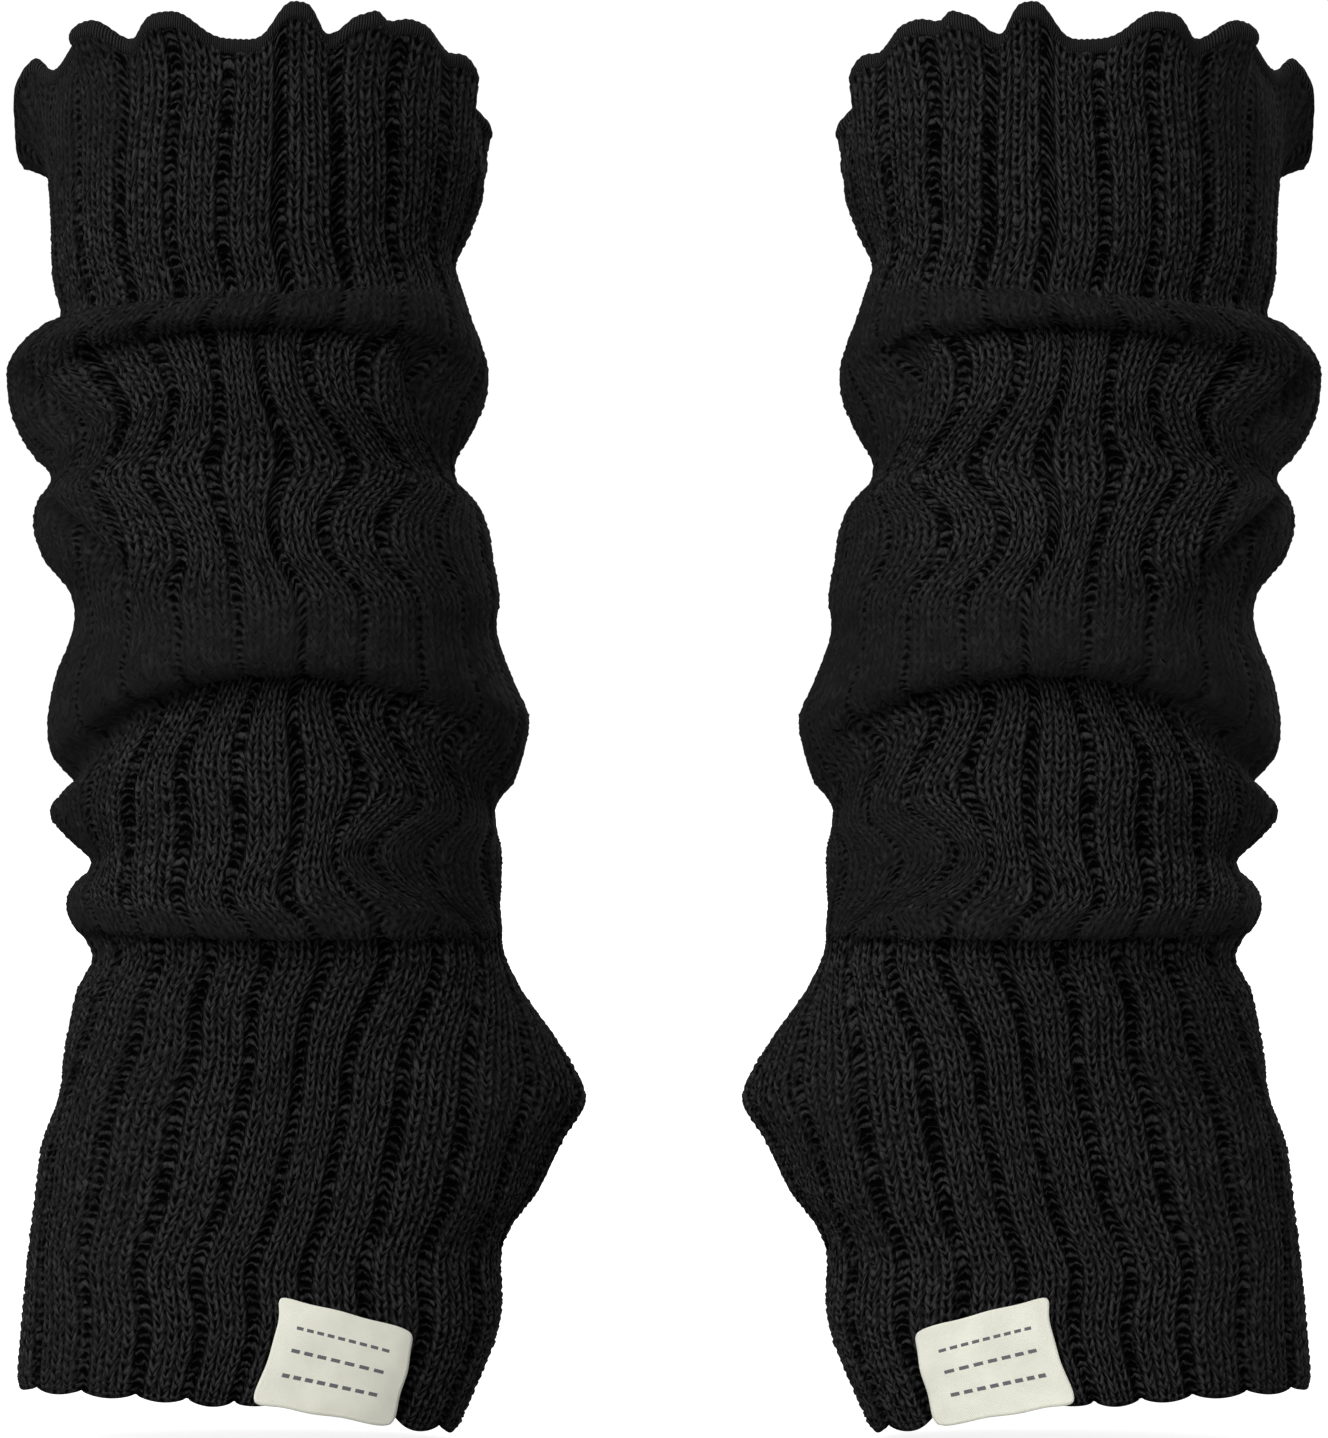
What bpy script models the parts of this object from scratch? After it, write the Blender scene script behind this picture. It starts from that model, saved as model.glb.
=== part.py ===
"""Pair of slouchy rib-knit arm warmers with frilled tops, thumb slits and small hem labels.

Each sleeve is one hollow knitted tube. Its shape is a short table of stations down the cloth, from the frilled
top edge over three slouch rolls to the hem. A station says how far the tube reaches to the left, to the right,
to the front and to the back. Round the tube the cloth runs smoothly through those four places. X is to the
right as seen from the front, the front faces -Y, and +Z is up. The origin is on the left sleeve's axis, in its
upper cuff, where the forearm holds it. The right sleeve mirrors the left one.
"""

from collections import namedtuple
from math import cos, degrees, exp, pi, radians, sin

import bpy
from mathutils import Vector

MM = 0.001

# The pair
AXES_APART = 175.0  # mm, from one cuff's axis to the other's
MIRROR_X = AXES_APART / 2

# The rib knit, in millimetres and degrees round the tube
RIBS = 20  # three knit wales and one purl wale each
RIB_TURN = 360 / RIBS
FIRST_VALLEY = RIB_TURN / 2  # a rib stands at the middle of the front
RIB_HEIGHT = 1.2
WALL = 2.8  # from the top of a rib to the plain inside
FRILL_WALL = 1.8  # the stretched cloth at the top edge
FINE_STEPS = 6  # places across a rib where the frill needs them
RIB_STEPS = 3  # places across a rib elsewhere: its valley and its two shoulders
DEPTH_OFF_VALLEY = (1.0, 0.3, 0.0, 0.0)  # of the rib height, by fine steps away from the valley
RIB_FADE = 0.9  # stations over which the ribs grow below the edging
LOOK_DOWN, LOOK_ROUND = 0.12, 1.5  # stations and degrees over which the cloth's direction is measured
SHARP_TURN = 50  # degrees between two faces that makes their shared edge a sharp one

# The frilled top edge
EDGING_HEIGHT = 3.0
EDGING_THICKNESS = 1.8
SEAM_GAP = 0.8  # down the cloth, which leaves about 0.3 across the seam where the frill is steep
FRILL_STATIONS = 1.35  # the waves die away over this many stations
FINE_PLACES = (0.48, 0.78, 1.1)  # rings that carry the waves, between the edging and station 2

# The thumb slit, which parts two wales on the inner side of the hand
SLIT_TURN = FIRST_VALLEY + 96.0
SLIT_GAPE = 12.0  # degrees that each lip is turned away, half way down
SLIT_REACH = 38.0  # degrees of cloth on each side that move with a lip

# The label
LABEL_THICKNESS = 1.0
LABEL_GAP = 0.45
LABEL_COLUMNS, LABEL_ROWS = 6, 4
Corner = namedtuple("Corner", "place turn")
LABEL_UPPER_LEFT, LABEL_UPPER_RIGHT = Corner(34.40, 18.0), Corner(34.96, 58.0)
LABEL_LOWER_LEFT, LABEL_LOWER_RIGHT = Corner(35.88, 15.0), Corner(35.96, 61.5)

Station = namedtuple(
    "Station",
    "name left left_z right right_z front front_z back back_z swing bunch",
)
# In millimetres: left and right are places along X, front and back are distances from the axis, and each has its
# height. swing is how far the ribs have turned, in degrees, and bunch how much they crowd to the front.
STATIONS = [
    Station("top edge", -46.5, 31.0, 48.0, 27.0, 45.0, 43.5, 44.0, 14.0, 2, 0.26),
    Station("frill root", -45.3, 17.5, 49.0, 14.0, 44.0, 33.5, 43.0, 1.0, 0.5, 0.26),
    Station("cuff", -44.5, 5.5, 46.2, 5.0, 43.5, 17.5, 42.5, -7.0, 1.5, 0.16),
    Station("cuff foot", -44.0, -6.5, 43.0, -2.5, 43.0, 1.0, 42.0, -14.5, 4, 0.11),
    Station("crease 1", -42.5, -15.5, 44.5, -8.5, 42.5, -10.5, 41.5, -20.0, 5.5, 0.12),
    Station("roll 1 top", -49.0, -19.5, 46.5, -14.5, 48.5, -12.0, 46.0, -24.0, 6, 0.15),
    Station("roll 1 edge", -53.5, -25.0, 49.0, -21.5, 49.5, -17.0, 50.5, -30.0, 3, 0.12),
    Station("roll 1 under", -54.0, -31.0, 50.0, -27.0, 44.5, -19.5, 50.0, -37.0, 0, 0.20),
    Station("tuck 1", -52.5, -37.5, 49.0, -33.0, 41.0, -17.5, 46.0, -42.0, -2, 0.25),
    Station("band 1 top", -49.0, -43.0, 46.0, -39.5, 43.5, -22.0, 43.0, -45.0, -2.5, 0.32),
    Station("band 1", -45.0, -47.5, 43.0, -45.0, 47.0, -32.0, 42.5, -48.5, 1.5, 0.30),
    Station("dip 1", -44.5, -50.5, 43.5, -50.0, 45.0, -41.5, 43.5, -52.0, 4, 0.05),
    Station("bulge top", -47.5, -54.5, 47.3, -54.0, 44.5, -47.5, 47.5, -56.0, 1.5, -0.05),
    Station("bulge", -48.3, -59.5, 50.0, -60.0, 47.5, -57.0, 50.0, -61.0, -1, 0.29),
    Station("bulge foot", -46.0, -66.5, 51.0, -66.0, 50.0, -66.0, 49.0, -67.0, -0.5, 0.35),
    Station("roll 2 root", -40.0, -74.0, 52.5, -74.5, 51.0, -75.0, 44.0, -72.5, -2.5, 0.05),
    Station("roll 2 top", -39.5, -81.5, 52.0, -82.5, 53.0, -82.5, 46.0, -79.5, -1, 0.05),
    Station("roll 2 crest", -43.5, -92.0, 55.5, -92.5, 54.0, -88.0, 51.0, -87.5, -1, 0.15),
    Station("roll 2 edge", -45.3, -102.0, 58.8, -100.5, 51.5, -91.5, 53.0, -95.0, -1, 0.25),
    Station("roll 2 under", -44.3, -109.0, 57.6, -108.0, 47.0, -92.3, 50.0, -101.5, -1, 0.32),
    Station("tuck 2", -39.3, -115.0, 55.5, -114.0, 42.0, -90.0, 44.0, -106.5, -1, 0.38),
    Station("band 2 top", -40.5, -118.5, 52.0, -118.5, 43.0, -96.0, 42.0, -111.0, -1, 0.40),
    Station("band 2", -43.0, -122.5, 51.5, -123.0, 44.5, -109.5, 45.0, -116.0, 1, 0.15),
    Station("band 2 foot", -35.5, -131.0, 53.0, -129.5, 45.5, -124.5, 46.0, -124.5, -7, 0.23),
    Station("roll 3 top", -40.0, -136.5, 53.0, -135.5, 47.5, -135.5, 47.0, -132.0, -6, 0.15),
    Station("roll 3 crest", -41.0, -141.0, 52.5, -141.0, 49.0, -143.0, 46.0, -138.5, 2, 0.10),
    Station("roll 3 edge", -39.5, -145.0, 53.0, -146.0, 46.5, -147.5, 43.0, -143.5, 3, 0.10),
    Station("tuck 3", -37.0, -148.5, 53.0, -149.5, 41.0, -144.5, 41.0, -146.5, 3, 0.10),
    Station("hand top", -35.5, -152.5, 54.0, -153.0, 40.0, -151.5, 39.0, -151.5, 2, 0.10),
    Station("hand", -39.0, -159.5, 57.5, -159.5, 38.5, -161.0, 37.0, -159.5, -3, 0.20),
    Station("knuckles", -41.2, -169.0, 63.7, -168.0, 36.0, -172.0, 35.0, -170.5, -9.5, 0.38),
    Station("thumb corner", -42.7, -181.5, 70.8, -181.5, 34.0, -184.0, 33.0, -182.5, -16.5, 0.42),
    Station("thumb", -46.3, -191.5, 67.2, -191.0, 33.0, -195.0, 32.0, -193.0, -14.5, 0.42),
    Station("thumb foot", -47.6, -201.0, 62.6, -201.0, 32.0, -205.5, 31.0, -204.0, -13.5, 0.38),
    Station("palm", -49.2, -213.5, 53.4, -213.0, 32.0, -217.5, 31.0, -216.5, -11.5, 0.29),
    Station("hem top", -50.6, -227.0, 52.6, -231.0, 32.5, -230.0, 31.0, -229.0, -9, 0.33),
    Station("hem", -52.0, -243.5, 43.6, -253.5, 33.0, -245.5, 31.0, -244.5, -7.5, 0.35),
]
NUMBER = {row.name: i for i, row in enumerate(STATIONS)}
SLIT_TOP, SLIT_FOOT = NUMBER["thumb corner"], NUMBER["palm"]
HEM = len(STATIONS) - 1

Wave = namedtuple("Wave", "angle width rise flare")
# The frill's waves round the top edge, which lift and flare where the stretched edging pushes them out.
# angle and width are degrees round the tube, rise and flare millimetres.
WAVES = [
    Wave(-100, 9, -5.5, 6.0),
    Wave(-84, 8, 4.8, 5.5),
    Wave(-46, 10.5, 4.9, 3.5),
    Wave(-21, 9.5, 3.0, 4.0),
    Wave(12, 7, 5.4, 4.5),
    Wave(28, 6.5, 4.3, 4.0),
    Wave(45, 13, 7.6, 3.5),
    Wave(70, 9.5, 4.7, 3.0),
    Wave(95, 8, -1.5, 2.4),
    Wave(117, 8, -2.5, 4.2),
    Wave(140, 8, 3.5, 4.5),
    Wave(163, 9, 4.5, 4.0),
    Wave(188, 8, 3.5, 4.5),
    Wave(212, 9, 4.5, 4.0),
    Wave(236, 8, 3.0, 4.5),
]
WAVE_SINK, WAVE_TUCK = 2.2, 1.6  # how far the edge sinks and draws in between the waves


def between(low, high, share):
    return low + (high - low) * share


def along_spline(values, place):
    """The smooth curve through the values, one for each station, at a place between two of them."""
    place = min(max(place, 0.0), len(values) - 1.0)
    start = min(int(place), len(values) - 2)
    share = place - start
    here, ahead = values[start], values[start + 1]
    slope = (ahead - values[start - 1]) / 2 if start else ahead - here
    last = start + 2 > len(values) - 1
    next_slope = ahead - here if last else (values[start + 2] - here) / 2
    rest = 1 - share
    return (
        here * (1 + 2 * share) * rest**2
        + slope * share * rest**2
        + ahead * share**2 * (3 - 2 * share)
        - next_slope * share**2 * rest
    )


COLUMNS = {name: [getattr(row, name) for row in STATIONS] for name in Station._fields[1:]}


def row_at(place):
    """Every column of the station table at a place down the cloth."""
    return {name: along_spline(values, place) for name, values in COLUMNS.items()}


def away(angle, other):
    """Degrees from one angle to another, the short way round."""
    return (angle - other + 180) % 360 - 180


def slit_gape(place):
    """How far open the slit is at a place down the cloth, from 0 to 1."""
    share = (place - SLIT_TOP) / (SLIT_FOOT - SLIT_TOP)
    return sin(pi * share) ** 0.8 if 0 < share < 1 else 0.0


def beside_slit(turn, place, side):
    """The turn of a wale after the slit's lips have parted. side is 1 or -1 on a lip, and 0 elsewhere."""
    off = away(turn, SLIT_TURN)
    if not side:
        side = 1 if off > 0 else -1
    if abs(off) > SLIT_REACH:
        return turn
    gape = SLIT_GAPE * slit_gape(place)
    return SLIT_TURN + side * between(gape, SLIT_REACH, abs(off) / SLIT_REACH)


def heading(row, turn):
    """The angle round the tube, from the front, at which a turn of the knit ends up."""
    angle = radians(turn + row["swing"])
    return angle - row["bunch"] / 2 * sin(2 * angle)


def plain_surface(row, angle):
    """The cloth without ribs or frill: a point in millimetres."""
    x = (row["right"] + row["left"]) / 2 + (row["right"] - row["left"]) / 2 * sin(angle)
    y = (row["back"] - row["front"]) / 2 - (row["back"] + row["front"]) / 2 * cos(angle)
    front, back, left, right = (row[side + "_z"] for side in ("front", "back", "left", "right"))
    level = (front + back + left + right) / 4
    oval = (front + back - left - right) / 4
    z = level + (front - back) / 2 * cos(angle) + (right - left) / 2 * sin(angle) + oval * cos(2 * angle)
    return Vector((x, y, z))


def frill(place, angle):
    """How far the frill lifts and flares the cloth at a place near the top edge, in millimetres."""
    if place >= FRILL_STATIONS:
        return 0.0, 0.0
    strength = (1 - place / FRILL_STATIONS) ** 2
    rise, flare = -WAVE_SINK, -WAVE_TUCK
    for wave in WAVES:
        near = exp(-abs(away(degrees(angle), wave.angle) / wave.width) ** 3)
        rise += (wave.rise + WAVE_SINK) * near
        flare += (wave.flare + WAVE_TUCK) * near
    return rise * strength, flare * strength


def surface(place, turn):
    """The cloth's outer face at the tops of its ribs: a point in millimetres."""
    row = row_at(place)
    angle = heading(row, turn)
    rise, flare = frill(place, angle)
    return plain_surface(row, angle) + Vector((sin(angle) * flare, -cos(angle) * flare, rise))


def outward(place, turn):
    """The direction that leaves the cloth at right angles. The edging takes that of the seam below it."""
    place = max(place, TUBE_PLACE)
    down = surface(min(place + LOOK_DOWN, HEM), turn) - surface(place - LOOK_DOWN, turn)
    round_ = surface(place, turn + LOOK_ROUND) - surface(place, turn - LOOK_ROUND)
    return down.cross(round_).normalized()


def cloth(place, turn, depth, side=0):
    """A point that lies depth millimetres inside the outer face, where the slit has moved the cloth to."""
    moved = beside_slit(turn, place, side)
    return (surface(place, moved) - outward(place, moved) * depth) * MM


def rib_depth(place, step):
    """How far below the rib tops a fine step round the tube lies."""
    off_valley = min(step % FINE_STEPS, FINE_STEPS - step % FINE_STEPS)
    return RIB_HEIGHT * DEPTH_OFF_VALLEY[off_valley] * min(1.0, (place - EDGING_PLACE) / RIB_FADE)


def wall(place):
    """The thickness from the rib tops to the plain inside."""
    return between(FRILL_WALL, WALL, min(1.0, place))


def place_below_edge(distance):
    """The place down the cloth that is this many millimetres under the top edge, at the middle of the front."""
    return distance / (plain_surface(row_at(0), 0) - plain_surface(row_at(1), 0)).length


EDGING_PLACE = place_below_edge(EDGING_HEIGHT)
TUBE_PLACE = place_below_edge(EDGING_HEIGHT + SEAM_GAP)


class Shell:
    """Faces and points of one closed solid, gathered ring by ring."""

    def __init__(self):
        self.points = []
        self.faces = []

    def point(self, where):
        self.points.append(where)
        return len(self.points) - 1

    def strip(self, one, other):
        """Faces between two rows of points. The longer row has a whole number of steps for each of the shorter."""
        if len(one) < len(other):
            for face in self.bands(other, one):
                self.faces.append(face[::-1])
        else:
            self.faces.extend(self.bands(one, other))

    @staticmethod
    def bands(fine, coarse):
        each = (len(fine) - 1) // (len(coarse) - 1)
        for i in range(len(coarse) - 1):
            face = fine[i * each : (i + 1) * each + 1] + [coarse[i + 1], coarse[i]]
            yield [v for n, v in enumerate(face) if v not in face[:n]]

    def build(self, name, material, mirrored=False):
        """Makes the Blender object. A mirrored piece's faces run the other way from the same first point."""
        points = [mirror(p) if mirrored else p for p in self.points]
        faces = [f[:1] + f[:0:-1] if mirrored else f for f in self.faces]
        mesh = bpy.data.meshes.new(name)
        mesh.from_pydata(points, [], faces)
        mesh.materials.append(material)
        mesh.shade_smooth()
        mesh.set_sharp_from_angle(angle=radians(SHARP_TURN))
        mesh.update()
        piece = bpy.data.objects.new(name, mesh)
        bpy.context.scene.collection.objects.link(piece)
        return piece


def mirror(point):
    return Vector((2 * MIRROR_X * MM - point.x, point.y, point.z))


def ring(shell, place, steps_each, depth_at):
    """One ring of points from the slit's wale round to it again, with some steps across each rib.

    It closes on its first point, or inside the slit on a point of its own.
    """
    count = RIBS * FINE_STEPS
    first = round((SLIT_TURN - FIRST_VALLEY) / RIB_TURN * FINE_STEPS)
    parted = SLIT_TOP < place < SLIT_FOOT
    made = []
    for step in range(first, first + count + parted, FINE_STEPS // steps_each):
        side = {first: 1, first + count: -1}.get(step, 0)
        turn = FIRST_VALLEY + step * RIB_TURN / FINE_STEPS
        made.append(shell.point(cloth(place, turn, depth_at(place, step), side)))
    return made if parted else made + made[:1]


def make_tube():
    """The knitted tube: a ribbed outer face over a plain inside, joined at the top, the hem and the slit's lips."""
    tube = Shell()
    places = [TUBE_PLACE, *FINE_PLACES, *range(2, HEM + 1)]
    outer, inner = [], []
    for place in places:
        fine = place < 2
        outer.append(ring(tube, place, FINE_STEPS if fine else RIB_STEPS, rib_depth))
        plain_steps = FINE_STEPS if place == TUBE_PLACE else RIB_STEPS if fine else 1
        inner.append(ring(tube, place, plain_steps, lambda where, step: wall(where)))
    for n in range(len(places) - 1):
        tube.strip(outer[n + 1], outer[n])
        tube.strip(inner[n], inner[n + 1])
        if places[n] >= SLIT_TOP and places[n + 1] <= SLIT_FOOT:
            tube.faces.append(lip_face(outer, inner, n, end=0)[::-1])
            tube.faces.append(lip_face(outer, inner, n, end=-1))
    tube.strip(outer[0], inner[0])
    tube.strip(inner[-1], outer[-1])
    return tube


def lip_face(outer, inner, n, end):
    """The cloth's thickness at one lip of the slit, between ring n and the next."""
    face = [outer[n][end], outer[n + 1][end], inner[n + 1][end], inner[n][end]]
    return [v for i, v in enumerate(face) if v not in face[:i]]


def make_edging():
    """The overlocked edging: a narrow band that waves with the frill."""
    band = Shell()
    rows = [
        (0.0, 0.0),
        (EDGING_PLACE, 0.0),
        (EDGING_PLACE, EDGING_THICKNESS),
        (0.0, EDGING_THICKNESS),
    ]
    rings = [ring(band, place, FINE_STEPS, lambda where, step, depth=depth: depth) for place, depth in rows]
    for n, upper in enumerate(rings):
        band.strip(rings[(n + 1) % len(rings)], upper)
    return band


def label_point(across, down, depth):
    """A point of the label. across and down are shares of its width and height, from its upper left corner."""
    left, right = zip(LABEL_UPPER_LEFT, LABEL_LOWER_LEFT), zip(LABEL_UPPER_RIGHT, LABEL_LOWER_RIGHT)
    left, right = ([between(upper, lower, down) for upper, lower in side] for side in (left, right))
    place, turn = (between(one, other, across) for one, other in zip(left, right))
    return cloth(place, turn, depth)


def label_grid(plate, depth):
    return [
        [plate.point(label_point(i / LABEL_COLUMNS, j / LABEL_ROWS, depth)) for i in range(LABEL_COLUMNS + 1)]
        for j in range(LABEL_ROWS + 1)
    ]


def make_label():
    """The label: a thin plate that follows the cloth it is sewn over."""
    plate = Shell()
    front = label_grid(plate, -LABEL_GAP - LABEL_THICKNESS)
    back = label_grid(plate, -LABEL_GAP)
    for j in range(LABEL_ROWS):
        plate.strip(front[j + 1], front[j])
        plate.strip(back[j], back[j + 1])
        plate.faces.append([front[j][0], front[j + 1][0], back[j + 1][0], back[j][0]][::-1])
        plate.faces.append([front[j][-1], front[j + 1][-1], back[j + 1][-1], back[j][-1]])
    plate.strip(front[0], back[0])
    plate.strip(back[-1], front[-1])
    return plate


def material(name, colour, roughness):
    made = bpy.data.materials.new(name)
    made.use_nodes = True
    shader = made.node_tree.nodes["Principled BSDF"]
    shader.inputs["Base Color"].default_value = (*colour, 1.0)
    shader.inputs["Roughness"].default_value = roughness
    shader.inputs["Metallic"].default_value = 0.0
    return made


def main():
    for thing in list(bpy.data.objects):
        bpy.data.objects.remove(thing, do_unlink=True)
    knit = material("black rib knit", (0.012, 0.012, 0.013), 0.92)
    overlock = material("black overlock thread", (0.014, 0.014, 0.015), 0.85)
    woven = material("cream woven label", (0.78, 0.76, 0.68), 0.7)
    pieces = (
        ("sleeve", make_tube(), knit),
        ("frill_edge", make_edging(), overlock),
        ("label", make_label(), woven),
    )
    for side in ("left", "right"):
        for name, shell, look in pieces:
            shell.build(f"{side}_{name}", look, mirrored=side == "right")


main()
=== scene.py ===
"""Looks of a pair of slouchy rib-knit arm warmers: stitches, frilled edging, labels, camera and light."""

from collections import namedtuple

import bpy
import numpy as np
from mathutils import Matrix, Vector


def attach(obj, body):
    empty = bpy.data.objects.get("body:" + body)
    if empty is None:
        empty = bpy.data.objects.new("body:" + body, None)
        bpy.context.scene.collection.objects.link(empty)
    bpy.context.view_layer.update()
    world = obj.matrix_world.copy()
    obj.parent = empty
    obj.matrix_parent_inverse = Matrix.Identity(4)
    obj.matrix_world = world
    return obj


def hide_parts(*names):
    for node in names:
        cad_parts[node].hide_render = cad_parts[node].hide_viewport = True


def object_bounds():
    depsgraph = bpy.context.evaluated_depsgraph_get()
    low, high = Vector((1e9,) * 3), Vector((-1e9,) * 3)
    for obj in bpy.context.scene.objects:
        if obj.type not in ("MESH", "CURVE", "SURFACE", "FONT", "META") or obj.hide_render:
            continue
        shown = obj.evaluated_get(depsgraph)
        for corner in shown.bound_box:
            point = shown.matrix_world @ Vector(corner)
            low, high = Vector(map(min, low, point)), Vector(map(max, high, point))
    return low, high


bl_info = {
    "name": "Rib-knit arm warmers",
    "version": (1, 0, 0),
    "blender": (4, 5, 0),
    "location": "View3D > Sidebar > Arm warmers",
    "description": "Knits a pair of slouchy arm warmers stitch by stitch, with frilled tops and hem labels",
    "category": "Add Mesh",
}


def table(columns, *rows):
    """Rows of numbers, with a name for each column."""
    kind = namedtuple("Row", columns)
    return [kind(*row) for row in rows]


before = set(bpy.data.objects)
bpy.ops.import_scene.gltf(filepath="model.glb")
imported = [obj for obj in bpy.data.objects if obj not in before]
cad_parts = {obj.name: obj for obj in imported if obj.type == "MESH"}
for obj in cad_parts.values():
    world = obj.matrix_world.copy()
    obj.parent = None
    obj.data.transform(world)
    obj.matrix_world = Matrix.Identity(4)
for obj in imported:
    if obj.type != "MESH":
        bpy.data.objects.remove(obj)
CAD_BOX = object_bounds()
MM = 0.001
SIDES = ("left", "right")

# The cloth, on the same stations as the part's source. Millimetres and degrees.
MIRROR_X = 87.5  # the right sleeve mirrors the left one across this plane
WALL, FRILL_WALL = 2.8, 1.8
EDGING_HEIGHT, EDGING_THICKNESS = 3.0, 1.8
FRILL_STATIONS = 1.35  # how far down the frill's waves reach
RISE_FADE, FLARE_FADE = 2, 3.5  # how fast they fade on the way
SLIT_GAPE, SLIT_REACH = 12.0, 38.0  # how far each lip parts, and how far beside it the cloth gives way
LOOK_DOWN, LOOK_ROUND = 0.12, 1.5  # the steps in which the cloth's slope is measured

# left and right are places along X, front and back distances from the axis, each with its height. swing is
# how far the ribs have turned, and bunch how much they crowd to the front.
STATIONS = table(
    "name left left_z right right_z front front_z back back_z swing bunch",
    ("top edge", -46.5, 31.0, 48.0, 27.0, 45.0, 43.5, 44.0, 14.0, 2, 0.26),
    ("frill root", -45.3, 17.5, 49.0, 14.0, 44.0, 33.5, 43.0, 1.0, 0.5, 0.26),
    ("cuff", -44.5, 5.5, 46.2, 5.0, 43.5, 17.5, 42.5, -7.0, 1.5, 0.16),
    ("cuff foot", -44.0, -6.5, 43.0, -2.5, 43.0, 1.0, 42.0, -14.5, 4, 0.11),
    ("crease 1", -42.5, -15.5, 44.5, -8.5, 42.5, -10.5, 41.5, -20.0, 5.5, 0.12),
    ("roll 1 top", -49.0, -19.5, 46.5, -14.5, 48.5, -12.0, 46.0, -24.0, 6, 0.15),
    ("roll 1 edge", -53.5, -25.0, 49.0, -21.5, 49.5, -17.0, 50.5, -30.0, 3, 0.12),
    ("roll 1 under", -54.0, -31.0, 50.0, -27.0, 44.5, -19.5, 50.0, -37.0, 0, 0.20),
    ("tuck 1", -52.5, -37.5, 49.0, -33.0, 41.0, -17.5, 46.0, -42.0, -2, 0.25),
    ("band 1 top", -49.0, -43.0, 46.0, -39.5, 43.5, -22.0, 43.0, -45.0, -2.5, 0.32),
    ("band 1", -45.0, -47.5, 43.0, -45.0, 47.0, -32.0, 42.5, -48.5, 1.5, 0.30),
    ("dip 1", -44.5, -50.5, 43.5, -50.0, 45.0, -41.5, 43.5, -52.0, 4, 0.05),
    ("bulge top", -47.5, -54.5, 47.3, -54.0, 44.5, -47.5, 47.5, -56.0, 1.5, -0.05),
    ("bulge", -48.3, -59.5, 50.0, -60.0, 47.5, -57.0, 50.0, -61.0, -1, 0.29),
    ("bulge foot", -46.0, -66.5, 51.0, -66.0, 50.0, -66.0, 49.0, -67.0, -0.5, 0.35),
    ("roll 2 root", -40.0, -74.0, 52.5, -74.5, 51.0, -75.0, 44.0, -72.5, -2.5, 0.05),
    ("roll 2 top", -39.5, -81.5, 52.0, -82.5, 53.0, -82.5, 46.0, -79.5, -1, 0.05),
    ("roll 2 crest", -43.5, -92.0, 55.5, -92.5, 54.0, -88.0, 51.0, -87.5, -1, 0.15),
    ("roll 2 edge", -45.3, -102.0, 58.8, -100.5, 51.5, -91.5, 53.0, -95.0, -1, 0.25),
    ("roll 2 under", -44.3, -109.0, 57.6, -108.0, 47.0, -92.3, 50.0, -101.5, -1, 0.32),
    ("tuck 2", -39.3, -115.0, 55.5, -114.0, 42.0, -90.0, 44.0, -106.5, -1, 0.38),
    ("band 2 top", -40.5, -118.5, 52.0, -118.5, 43.0, -96.0, 42.0, -111.0, -1, 0.40),
    ("band 2", -43.0, -122.5, 51.5, -123.0, 44.5, -109.5, 45.0, -116.0, 1, 0.15),
    ("band 2 foot", -35.5, -131.0, 53.0, -129.5, 45.5, -124.5, 46.0, -124.5, -7, 0.23),
    ("roll 3 top", -40.0, -136.5, 53.0, -135.5, 47.5, -135.5, 47.0, -132.0, -6, 0.15),
    ("roll 3 crest", -41.0, -141.0, 52.5, -141.0, 49.0, -143.0, 46.0, -138.5, 2, 0.10),
    ("roll 3 edge", -39.5, -145.0, 53.0, -146.0, 46.5, -147.5, 43.0, -143.5, 3, 0.10),
    ("tuck 3", -37.0, -148.5, 53.0, -149.5, 41.0, -144.5, 41.0, -146.5, 3, 0.10),
    ("hand top", -35.5, -152.5, 54.0, -153.0, 40.0, -151.5, 39.0, -151.5, 2, 0.10),
    ("hand", -39.0, -159.5, 57.5, -159.5, 38.5, -161.0, 37.0, -159.5, -3, 0.20),
    ("knuckles", -41.2, -169.0, 63.7, -168.0, 36.0, -172.0, 35.0, -170.5, -9.5, 0.38),
    ("thumb corner", -42.7, -181.5, 70.8, -181.5, 34.0, -184.0, 33.0, -182.5, -16.5, 0.42),
    ("thumb", -46.3, -191.5, 67.2, -191.0, 33.0, -195.0, 32.0, -193.0, -14.5, 0.42),
    ("thumb foot", -47.6, -201.0, 62.6, -201.0, 32.0, -205.5, 31.0, -204.0, -13.5, 0.38),
    ("palm", -49.2, -213.5, 53.4, -213.0, 32.0, -217.5, 31.0, -216.5, -11.5, 0.29),
    ("hem top", -50.6, -227.0, 52.6, -231.0, 32.5, -230.0, 31.0, -229.0, -9, 0.33),
    ("hem", -52.0, -243.5, 43.6, -253.5, 33.0, -245.5, 31.0, -244.5, -7.5, 0.35),
)
SEEN_MIDDLE, SEEN_REACH, SEEN_FADE = 22, 98, 45  # the turns where the ribs wander this far, and their fade
BEHIND_SHARE = 0.35  # how far they wander behind, as a share
CENTRE_SHARE, CENTRE_REACH = 0.45, 26  # the same at the middle of the front
CENTRE_LEFT, CENTRE_WIDENS = 45, 18  # that middle reaches farther left, from this station down
CENTRE_END, CENTRE_FADE = 26, 2  # the station where it ends, and how many stations it takes

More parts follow.
